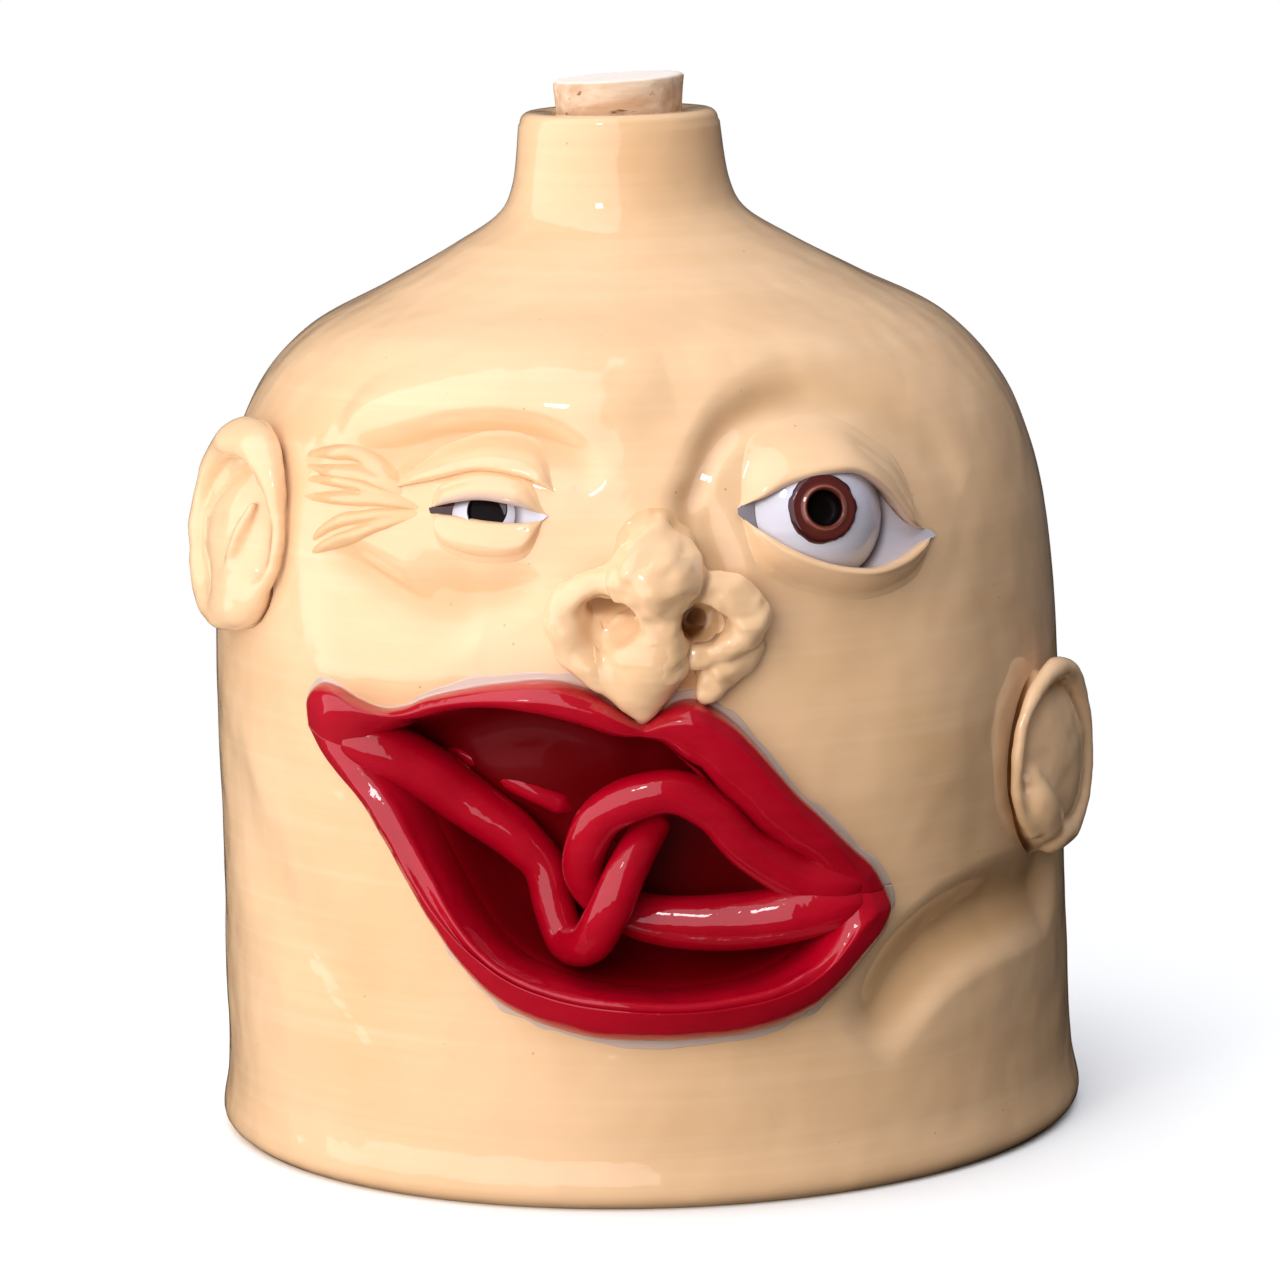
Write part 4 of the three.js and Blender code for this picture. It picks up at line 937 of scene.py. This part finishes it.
at = block((-28, -27, -2.4), (30, 43, 20))
nostrils = melt(ball_distance(at, LEFT_NOSTRIL), rope_distance(at, LEFT_NOSTRIL_CORNER), 1.5)
nostrils = np.minimum(nostrils, rope_distance(at, RIGHT_NOSTRIL))
lump = melt(ball_distance(at, NOSE_BULB), rope_distance(at, NOSE_BRIDGE), 6)
lump = melt(lump, rope_distance(at, COLUMELLA), 3)
lump = melt(lump, ball_distance(at, NOSE_PAD), 3)
lump = carve(lump, nostrils, 1.5)
for strand in LEFT_NOSTRIL_STRANDS:
    lump = melt(lump, rope_distance(at, strand), 1)
left_wing = carve(rope_distance(at, LEFT_WING), nostrils, 1.5)
right_wing = np.minimum(rope_distance(at, RIGHT_WING), rope_distance(at, RIGHT_WING_LOBE))
right_wing = carve(right_wing, nostrils, 1)
wedge = carve(rope_distance(at, WEDGE), nostrils, 1)
# Painted shade in the nostrils: full in the right one, half in the left
holes = [(1, np.maximum(rope_distance(at, RIGHT_NOSTRIL_DARK), at[..., 2] - 6.5)),
         (0.5, np.maximum(rope_distance(at, LEFT_NOSTRIL_CORNER), at[..., 2] - 5))]
modelled_piece("nose_lump_of_clay", NOSE, at, lump, 3, "nose_lump", rough=1.1, holes=holes)
modelled_piece("nose_left_wing_coil", NOSE, at, left_wing, 2.5, "nose_left_wing", beside=lump, rough=0.55,
               holes=holes)
# Painted shadow on the wall at the foot of the right wing's right side
modelled_piece("nose_right_wing_coil", NOSE, at, right_wing, 1.2, "nose_right_wing", beside=lump, rough=1,
               seam=0.5, holes=holes, foot=lambda place: 0.6 * smoothstep(place[:, 0], 9, 17))
modelled_piece("philtrum_wedge_of_clay", NOSE, at, wedge, 2.5, "philtrum_wedge",
               beside=np.minimum(lump, left_wing))

# Ears
# Each is a pad of clay with a coil for its rim, hollowed with a tool and luted on, one high, one low.
# The left one is thick, with a deep hollow under its rim. The right one is a dish with three ridges.
EAR_TILT = 0.2
LEFT_EAR_PAD = [[0, -1, 0], [19, 23, 6.2]]
LEFT_EAR_LOBE = [[2, -15, 2.5], [13, 8.5, 5.5]]
LEFT_EAR_RIM = [
    [19.6, 4, 2.8, 1.6], [17.5, 10.5, 3.8, 2.6], [12.5, 16.5, 4.8, 3.7], [5, 20.3, 5.8, 4.5],
    [-4, 20.8, 6.8, 4.5], [-11.5, 17, 6.8, 4], [-16.3, 9, 6.6, 3.6], [-18, 0, 6.4, 3.3],
    [-16.8, -9, 5.6, 3.5], [-12, -17, 4.6, 4.2], [-4, -20.5, 3.8, 4.4], [4, -19, 3.4, 4],
]
LEFT_EAR_FRONT = [
    [12, 12.5, 5.2, 1.2], [17, 9.5, 4.2, 1.3], [20, 4, 3, 1.4], [20.6, -3, 2.6, 1.5],
    [18.3, -9.5, 2.6, 1.7], [12, -15, 3, 2.4],
]
LEFT_EAR_HOLLOW = [[7, 15.5, 6.5, 1.8], [0, 13.8, 7, 3], [-6.5, 10.5, 7.4, 3], [-11, 4.5, 8, 1.8]]
LEFT_EAR_SLIT = [[15.5, 5.5, 5, 0.8], [12, 2, 5.2, 1.3], [9, -2, 5.6, 1.3], [6, -7, 6, 0.8]]
LEFT_EAR_RIDGE = [[10, 6, 4.6, 1.2], [7, 0, 5, 1.9], [3.5, -6, 5.2, 1.6]]
RIGHT_EAR_PAD = [[0, -1, 0], [18.3, 21.8, 7.6]]
RIGHT_EAR_RIM = [
    [-10, -16, 2.4, 2], [-16.2, -9, 2.4, 1.6], [-18.4, 1, 2.6, 1.5], [-15.8, 12, 3.4, 1.7],
    [-8, 19.3, 4.6, 2.2], [2, 21.8, 5.6, 2.6], [10, 18.3, 6.6, 2.6], [15, 10, 7.2, 2.4],
    [16.6, 0, 7.2, 2.4], [15, -10, 6.6, 2.6], [9, -17.3, 5.2, 3.2], [1, -19.5, 4, 3.8],
]
RIGHT_EAR_LOBE = [[-11.5, -3, 2.6, 3.2], [-9, -9, 3.2, 4.8], [-4, -15, 3, 4.6]]
RIGHT_EAR_RIDGES = [[[-5.6, 5.4, 4.6, 0.9], [-3, 1.5, 5.6, 1.2], [-0.2, -2.3, 6, 0.9]],
                    [[-0.2, 6.3, 5.6, 1], [3, 1.5, 6.6, 1.4], [4.8, -3.9, 6.8, 1]],
                    [[7.7, 10.7, 6.2, 1.3], [10.5, 5.4, 6.9, 1.8], [12, -2.3, 6.9, 1.4]]]


def tilted(at, tilt):
    """The places as a pad sees them that stands further off the wall at the back of the head."""
    return np.stack([at[..., 0], at[..., 1], at[..., 2] + tilt * at[..., 0]], -1)


at = block((-26, -30, -2.4), (26, 31, 14))
ear = melt(ball_distance(tilted(at, EAR_TILT), LEFT_EAR_PAD), rope_distance(at, LEFT_EAR_RIM), 1.2)
ear = melt(ear, rope_distance(at, LEFT_EAR_FRONT), 0.8)
ear = melt(ear, rope_distance(at, LEFT_EAR_RIDGE), 1.2)
ear = melt(ear, ball_distance(at, LEFT_EAR_LOBE), 2.5)
ear = carve(ear, rope_distance(at, LEFT_EAR_HOLLOW), 1.2)
ear = carve(ear, rope_distance(at, LEFT_EAR_SLIT), 0.8)
# Painted shadow on the wall at the foot of the ear's front edge
modelled_piece("left_ear_hollowed", LEFT_EAR, at, ear, 0.9, "left_ear", rough=0.25,
               foot=lambda place: smoothstep(place[:, 0], 4, 12))
ear = melt(ball_distance(tilted(at, -EAR_TILT), RIGHT_EAR_PAD), rope_distance(at, RIGHT_EAR_RIM), 0.8)
ear = melt(ear, rope_distance(at, RIGHT_EAR_LOBE), 2)
for ridge in RIGHT_EAR_RIDGES:
    ear = melt(ear, rope_distance(at, ridge), 0.8)
# Painted shadow on the wall at the foot of the ear's front edge
modelled_piece("right_ear_hollowed", RIGHT_EAR, at, ear, 0.7, "right_ear", rough=0.2,
               foot=lambda place: smoothstep(-place[:, 0], 0, 8))

# Eyes
# Balls of white clay, pressed into sockets in the wall, with a tooled well for the pupil. The wide
# one has a raised ring of brown glaze round it, and the winking one is a slit between its lids.
BALL_AT = (46.6, 159.6)
BALL_RADIUS = 19
BALL_SINK = 10.6
SMALL_BALL_RADIUS = 15
SMALL_BALL_SINK = 12.5
PUPIL_RADIUS = 4.2
SMALL_PUPIL_RADIUS = 4.6
GAZE = (-2.6, -0.1)
WINK_GAZE = (1.3, 1.2)
GLAZE_OFF = 0.7
WELL_LIFTS = [-4, -1.5, -0.3]
WELL_SHADE = 0.9
# Painted shade in the crack round a ball fades out between these distances past its edge
CRACK = (0.6, 3.6)
EYE_TURNS = 96
BALL_RINGS = 60
LID_LINE_STEPS = 90
APRON_STEPS = 24
# The iris from the well outward, as [reach, lift]
IRIS_RINGS = [
    [PUPIL_RADIUS - 0.1, -3.6], [PUPIL_RADIUS - 0.1, -1], [PUPIL_RADIUS, 0.1], [4.5, 0.4], [4.8, 0.55],
    [5, 0.5], [5.3, 0.3], [5.8, 0.25], [6.4, 0.45], [7, 0.7], [7.5, 0.75], [7.9, 0.5], [8.1, -0.15],
]
IRIS_RAGGED_FROM = 7.2
# The pupil's cup, as shares of its reach and depth
PUPIL_CUP = [[0.01, -1], [0.35, -1], [0.7, -0.97], [0.9, -0.85], [1, -0.6], [1, -0.3], [1, -0.05]]


def eye_point(eye, radius, sink, reach, lift, nudge=(0, 0)):
    """Rings on a ball seated in the wall, at a reach from its axis and a lift off the ball."""
    along, up = eye
    slope = np.arctan2(radius_at(up - 1) - radius_at(up + 1), 2)
    angle = along / WALL_RADIUS
    across = np.array([np.cos(angle), np.sin(angle), 0])
    level_out = np.array([np.sin(angle), -np.cos(angle), 0])
    out = level_out * np.cos(slope) + np.array([0, 0, np.sin(slope)])
    rise = np.cross(out, across)
    wall = radius_at(up) * level_out + np.array([-LEAN * up, 0, up])
    turn = np.linspace(0, 2 * np.pi, EYE_TURNS, endpoint=False)
    reach = np.broadcast_to(np.asarray(reach, float).reshape(len(lift), -1), (len(lift), EYE_TURNS))
    centre = np.broadcast_to(np.asarray(nudge, float), (len(lift), 2))
    x = reach * np.cos(turn) + centre[:, :1]
    y = reach * np.sin(turn) + centre[:, 1:]
    from_axis = np.minimum(np.hypot(x, y) / radius, 1)
    height = radius * np.sqrt(1 - from_axis**2) - sink + np.asarray(lift, float).reshape(-1, 1)
    return wall + x[..., None] * across + y[..., None] * rise + height[..., None] * out


def opening_grid(eye, upper, lower, ball, edge, shut):
    """The glaze on the wall between two lids, out to the corners of the eye and in under the ball.

    It has painted shade in the crack round the ball, and in the left corner as far as that is shut.
    """
    top = curve(np.array(upper)[:, 2:4], LID_LINE_STEPS)
    bottom = curve(np.array(lower)[:, 2:4], LID_LINE_STEPS)
    place = mix(bottom, top, np.linspace(-0.1, 1.1, APRON_STEPS)[:, None, None]) + eye
    away = np.linalg.norm(place - ball, axis=-1)
    crack = 0.95 * (1 - smoothstep(away - edge, *CRACK))
    corner = shut * (1 - smoothstep(place[..., 0] - ball[0] + edge, 0, 3))
    faces = grid_faces(APRON_STEPS, LID_LINE_STEPS)
    beside_ball = away.ravel()[faces].min(1) > edge - 3.5
    points = wall_point(place[..., 0], place[..., 1], GLAZE_OFF)
    return points, faces[beside_ball], np.maximum(crack, corner)


# Lids, as [along, up] of the outer edge, [along, up] of the inner edge, and height
RIGHT_UPPER_LID = [
    [-26, 3.5, -21.5, 2.6, 3], [-21, 11, -16, 5, 4.6], [-13, 17.5, -9, 8, 6.6], [-2, 20, -1, 9.5, 8],
    [10, 18.5, 7.5, 9, 8], [20, 12, 14.5, 4.5, 6.5], [29, 3, 22.5, -4, 4], [37, -7.5, 31, -7, 2],
]
RIGHT_LOWER_LID = [
    [-26, 2, -21.5, 1.4, 2], [-21, -7, -16, -3, 4], [-13, -13, -9, -7.5, 6.5],
    [-1, -17.5, -0.5, -11, 8], [10, -19, 9, -12.5, 7.5], [21, -17, 18, -11.5, 5],
    [30, -13, 26, -9, 3.5], [37.5, -9.2, 32, -8.1, 2],
]
LEFT_UPPER_LID = [
    [-20, 2.5, -14.5, 1.3, 1.5], [-12, 7, -8, 3, 3.2], [-1, 10, 0, 4, 3.8], [9.5, 8.5, 8.5, 2.8, 3.4],
    [18.5, 2, 16, 0.2, 1.5],
]
LEFT_LOWER_LID = [
    [-20, -0.5, -14, 0.3, 1.5], [-10, -6.5, -7, 0, 2.8], [0, -9, 1, -0.9, 3.2],
    [10, -8, 9.5, -1.3, 2.8], [18.5, -2.5, 15, -0.6, 1.5],
]

# White clay shows through the glaze a little blue. The brown is brushed on thick, so it is nearly
# opaque, and the black of the pupils is sunk out of the light and hardly mirrors it.
# The white's dark brown tint is painted shade in the cracks, corners and wells, and under the upper lids
white_glaze = fired_glaze("white_clay_under_clear_glaze", "#cfccd9", "#b9b3c4", "#dcdae4", "#a39cae",
                          "#34140c", slow=0.0003)
brown_glaze = fired_glaze("brown_iris_glaze", "#54201a", "#340a12", "#5e2a20", "#2a0c0c", "#200608",
                          "#a86450", slow=0.0002)
black_glaze = fired_glaze("black_pupil_glaze", "#0c0606", "#050303", "#120a0a", "#000000", "#000000",
                          slow=0.0001, gloss=0.02)


def eyeball(name, eye, ball, radius, sink, hole, lids, nudge, shut, node):
    """A ball with a well for its pupil, and the glaze round it, with painted shade in the well and where the
    upper lid overhangs.
    """
    edge = np.sqrt(radius**2 - (sink + GLAZE_OFF) ** 2)
    spread = np.linspace(0, 1, BALL_RINGS)
    well = len(WELL_LIFTS)
    reach = np.concatenate([[hole] * well, mix(hole + 0.15, edge + 1.2, spread)])
    lift = np.concatenate([WELL_LIFTS, np.zeros(BALL_RINGS)])
    centre = np.concatenate([[1] * well, 1 - spread])[:, None] * nudge
    cap = eye_point(ball, radius, sink, reach, lift, centre).reshape(-1, 3)
    turn = np.linspace(0, 2 * np.pi, EYE_TURNS, endpoint=False)
    across = reach[:, None] * np.cos(turn) + centre[:, :1] + ball[0] - eye[0]
    rise = reach[:, None] * np.sin(turn) + centre[:, 1:] + ball[1] - eye[1]
    lid_edge = curve(np.array(lids[0])[:, 2:4], LID_LINE_STEPS)
    under = np.interp(across, lid_edge[:, 0], lid_edge[:, 1]) - rise
    shade = 0.8 * (1 - smoothstep(under, 0.5, 2.2)) * (1 - smoothstep(across, 0, 8))
    shade[: well + 1] = WELL_SHADE
    apron, apron_faces, dark = opening_grid(eye, *lids, ball, edge, shut)
    points = np.concatenate([cap, apron.reshape(-1, 3)])
    faces = np.concatenate([grid_faces(well + BALL_RINGS, EYE_TURNS, closed=True), apron_faces + len(cap)])
    clay_piece(name, points, faces, white_glaze, "white_glaze", node,
               marks={"crevice_shade": np.concatenate([shade.ravel(), dark.ravel()])})


eyeball("right_eyeball_white", RIGHT_EYE, BALL_AT, BALL_RADIUS, BALL_SINK, PUPIL_RADIUS,
        (RIGHT_UPPER_LID, RIGHT_LOWER_LID), GAZE, 0.62, "right_eyeball")
eyeball("left_eyeball_white", LEFT_EYE, LEFT_EYE, SMALL_BALL_RADIUS, SMALL_BALL_SINK, SMALL_PUPIL_RADIUS,
        (LEFT_UPPER_LID, LEFT_LOWER_LID), WINK_GAZE, 1, "left_eyeball")

turn = np.arange(EYE_TURNS)
ragged = 0.28 * ripple(turn, 0 * turn, 5, 21) + 0.12 * ripple(turn, 0 * turn, 2, 22)
iris_reach, iris_lift = np.array(IRIS_RINGS).T
uneven_reach = iris_reach[:, None] + ragged * (iris_reach[:, None] > IRIS_RAGGED_FROM)
rim_dark = np.repeat(smoothstep(iris_reach, 6.6, 7.9), EYE_TURNS)
tan_ring = np.repeat(0.8 * (1 - np.clip(np.abs(iris_reach - 5) / 0.35, 0, 1)), EYE_TURNS)
clay_piece("right_iris_ring", eye_point(BALL_AT, BALL_RADIUS, BALL_SINK, uneven_reach, iris_lift, GAZE),
           grid_faces(len(IRIS_RINGS), EYE_TURNS, closed=True), brown_glaze, "brown_glaze", "right_iris",
           marks={"pooled_and_shade": rim_dark, "slip_and_lid_shade": tan_ring})


def pupil(name, eye, radius, sink, reach, depth, nudge, node):
    """A black cup at the bottom of the well."""
    rings, heights = np.array(PUPIL_CUP).T
    points = eye_point(eye, radius, sink, rings * reach, heights * depth, nudge)
    faces = grid_faces(len(PUPIL_CUP), EYE_TURNS, closed=True)
    clay_piece(name, points, faces, black_glaze, "black_glaze", node)


pupil("right_pupil_black", BALL_AT, BALL_RADIUS, BALL_SINK, PUPIL_RADIUS - 0.15, 3.4, GAZE,
      "right_pupil")
pupil("left_pupil_black", LEFT_EYE, SMALL_BALL_RADIUS, SMALL_BALL_SINK, SMALL_PUPIL_RADIUS - 0.1, 1.2,
      WINK_GAZE, "left_pupil")

# Eyelids, brow fold and crow's feet
# Flattened strips and thin rolls of clay, smeared on to the wall round the eyes with a finger, under
# the jug's clear glaze. Grey along the rims of the upper lids is painted shade under their overhang.
LEFT_BROW_FOLD = [
    [-30, 9, -27, 5, 1.2], [-16, 14, -15, 7.5, 3], [-2, 17.5, -2, 10, 3.6], [11, 16, 10, 8.5, 3.4],
    [21.5, 11, 17.5, 5.5, 1.8],
]
# Each crow's foot is a pair of thin ridges with a valley between them, as [along, up, off, radius]
CROWS_FEET = [
    [[[-58.4, 10.7, -0.9, 0.5], [-49.3, 11.9, -0.1, 1.4], [-42.1, 12, 0, 1.5], [-34.7, 9.8, 0, 1.4],
      [-28.7, 7.1, -0.1, 1.2], [-23.2, 4.4, -0.8, 0.6]],
     [[-57.4, 8.1, -0.9, 0.5], [-46, 7.6, -0.1, 1.4], [-37.1, 7.6, 0, 1.5], [-30.3, 6.2, -0.1, 1.2],
      [-24, 3.9, -0.8, 0.6]]],
    [[[-56.2, 5.2, -0.9, 0.5], [-46.9, 5.8, -0.1, 1.3], [-38.1, 5.4, 0, 1.3], [-29.8, 4, -0.1, 1.2],
      [-22, 2.4, -0.8, 0.6]],
     [[-57.6, 1.2, -0.9, 0.5], [-42, 2, 0, 1.5], [-31.2, 2.3, 0, 1.4], [-21.2, 1.7, -0.2, 1],
      [-16.6, 1, -0.8, 0.5]]],
    [[[-51.6, -9.3, -0.9, 0.5], [-47.2, -5.9, -0.1, 1.2], [-40.9, -3, 0, 1.4], [-32.2, -1.3, 0, 1.3],
      [-24.1, -0.3, -0.2, 1], [-16.4, 0.6, -0.8, 0.5]],
     [[-52.6, -11.9, -0.9, 0.5], [-44.1, -8.6, 0, 1.4], [-36.9, -6.3, 0, 1.5], [-30.3, -3.9, 0, 1.3],
      [-23.9, -2, -0.2, 1], [-16.4, -0.2, -0.8, 0.5]]],
]
# Across a strip, as shares of the way to its inner edge and of its height
LID_SECTION = [
    [-0.3, -0.5], [-0.2, -0.04], [0.02, 0.09], [0.2, 0.26], [0.42, 0.56], [0.65, 0.84], [0.86, 1],
    [0.97, 0.95], [1.02, 0.78], [1.0, 0.5], [0.92, 0.1], [0.8, -0.4], [0.3, -0.8],
]
BAG_SECTION = [
    [-0.3, -0.5], [-0.2, -0.04], [-0.02, 0.2], [0.1, 0.6], [0.28, 0.95], [0.5, 1], [0.75, 0.93],
    [0.92, 0.82], [1.0, 0.6], [1.0, 0.3], [0.92, -0.1], [0.8, -0.4], [0.3, -0.8],
]
FOLD_SECTION = [
    [-0.2, -0.4], [-0.1, -0.03], [0.05, 0.1], [0.22, 0.38], [0.42, 0.85], [0.6, 1], [0.8, 0.85],
    [0.97, 0.4], [1, -0.05], [0.8, -0.4], [0.4, -0.5],
]
STRIP_STEPS = 120


def lid(name, eye, stations, section, node, seed, rim_shade=None):
    """A strip of clay over or under an eye, with grey painted shade along its rim: where that starts across
    the strip and how strong it is.
    """
    rows = curve(stations, STRIP_STEPS)
    from_end = np.minimum(np.arange(STRIP_STEPS), np.arange(STRIP_STEPS)[::-1]) / STRIP_STEPS
    rows[:, 4] *= smoothstep(from_end, -0.03, 0.17)
    rows[:, :2] = mix(rows[:, 2:4], rows[:, :2], smoothstep(from_end, -0.03, 0.26)[:, None])
    shape = np.array(section)
    sections = [np.stack([shape[:, 0], np.where(shape[:, 1] > 0, shape[:, 1] * height, 2 * shape[:, 1])], -1)
                for height in rows[:, 4]]
    points, faces, _, share = pressed_strip(eye, rows, sections, 0.18, seed)
    marks = {}
    if rim_shade:
        marks["slip_and_lid_shade"] = rim_shade[1] * smoothstep(share, rim_shade[0], 0.95) * smoothstep(from_end, 0.02, 0.2)[:, None]
    clay_piece(name, points, faces, clear_glaze, "clear_glaze", node, marks=marks)


lid("right_upper_lid_strip", RIGHT_EYE, RIGHT_UPPER_LID, LID_SECTION, "right_upper_lid", 31, rim_shade=(0.86, 0.5))
lid("right_lower_lid_strip", RIGHT_EYE, RIGHT_LOWER_LID, LID_SECTION, "right_lower_lid", 32)
lid("left_upper_lid_strip", LEFT_EYE, LEFT_UPPER_LID, LID_SECTION, "left_upper_lid", 33, rim_shade=(0.55, 0.62))
lid("left_lower_lid_strip", LEFT_EYE, LEFT_LOWER_LID, BAG_SECTION, "left_lower_lid", 34)
lid("left_brow_fold_roll", LEFT_EYE, LEFT_BROW_FOLD, FOLD_SECTION, "left_brow_fold", 35)
for number, ridges in enumerate(CROWS_FEET, 1):
    places = np.array(ridges[0] + ridges[1])[:, :2]
    at = block((*(places.min(0) - 5), -2), (*(places.max(0) + 5), 4), 0.4)
    pair = melt(*(rope_distance(at, ridge) for ridge in ridges), 0.8)
    modelled_piece(f"crows_foot_{number}_smeared", LEFT_EYE, at, pair, 0.8, f"crows_foot_{number}",
                   rough=0.12, seed=40 + number, rounds=2)

# Cork
# A tapered natural cork, cut from bark, with its upper edge bevelled and its top cut a little
# slanting, pushed into the neck by hand. Bare cork is matt, with fine pores and darker pits.
CORK_RADIUS = 15.9
CORK_LENGTH = 34
CORK_TAPER = 0.085
CORK_SHOWS = 7.9
CORK_BEVEL = 0.7
CORK_SLANT = 0.04
CORK_TURNS = 128
CORK_SIDE_RINGS = 24
CORK_TOP_RINGS = 12
CORK_FOOT_BEVEL = (0.6, 0.3)
cork_skin = bpy.data.materials.new("natural_cork_bare")
tree = empty_tree(cork_skin)
place = add_node(tree, "ShaderNodeTexCoord").outputs["Object"]
# The bark's grain runs across the cork, in streaks about 17 mm long and 4 mm thick
layers = add_node(tree, "ShaderNodeMapping", {"Vector": place, "Scale": (60, 260, 260)})
grain = add_node(tree, "ShaderNodeTexNoise", {"Vector": layers, "Scale": 1.0, "Detail": 6.0})
pits = add_node(tree, "ShaderNodeTexNoise", {"Vector": layers, "Scale": 1.6, "Detail": 3.0})
# Where it faces up, over the cut top and its bevel, it is paler
normal = add_node(tree, "ShaderNodeNewGeometry").outputs["Normal"]
facing = add_node(tree, "ShaderNodeSeparateXYZ", {0: normal})
cork_tone = layered(tree, "#c9a383", ("#e2c7ad", grain, 0.38, 0.66, 1), ("#7a5232", pits, 0.63, 0.7, 1),
                    ("#f6f0e8", facing.outputs["Z"], 0.5, 0.95, 0.7))
cork_bump = add_node(tree, "ShaderNodeBump", {"Height": pits, "Distance": 0.0006, "Strength": 0.7})
cork_shader = add_node(tree, "ShaderNodeBsdfPrincipled", {
    "Base Color": cork_tone, "Roughness": 0.85, "Specular IOR Level": 0.3, "Normal": cork_bump})
add_node(tree, "ShaderNodeOutputMaterial", {"Surface": cork_shader})

turn = np.linspace(0, 2 * np.pi, CORK_TURNS, endpoint=False)
cork_top = RIM_HEIGHT + CORK_SHOWS
cork_lean = LEAN * (RIM_HEIGHT - CORK_LENGTH / 2)
side_rows = np.linspace(CORK_BEVEL, CORK_LENGTH, CORK_SIDE_RINGS)
side = [[CORK_RADIUS - CORK_TAPER * down, down] for down in side_rows]
outline = [[r, 0] for r in np.linspace(0.01, CORK_RADIUS - CORK_BEVEL, CORK_TOP_RINGS)] + side
below = CORK_LENGTH + CORK_FOOT_BEVEL[1]
outline += [[side[-1][0] - CORK_FOOT_BEVEL[0], below], [0.01, below]]
rings = []
for radius, down in outline:
    worn = radius + 0.1 * ripple(8 * turn, down + 0 * turn, 3, 51) * (radius > 5)
    x = worn * np.cos(turn)
    slant = CORK_SLANT * x * (1 - down / CORK_LENGTH)
    rings.append(np.stack([x - cork_lean, worn * np.sin(turn), cork_top - down + slant], -1))
clay_piece("cork_stopper_natural", np.array(rings), grid_faces(len(rings), CORK_TURNS, closed=True),
           cork_skin, "cork", "cork_stopper", body="cork")
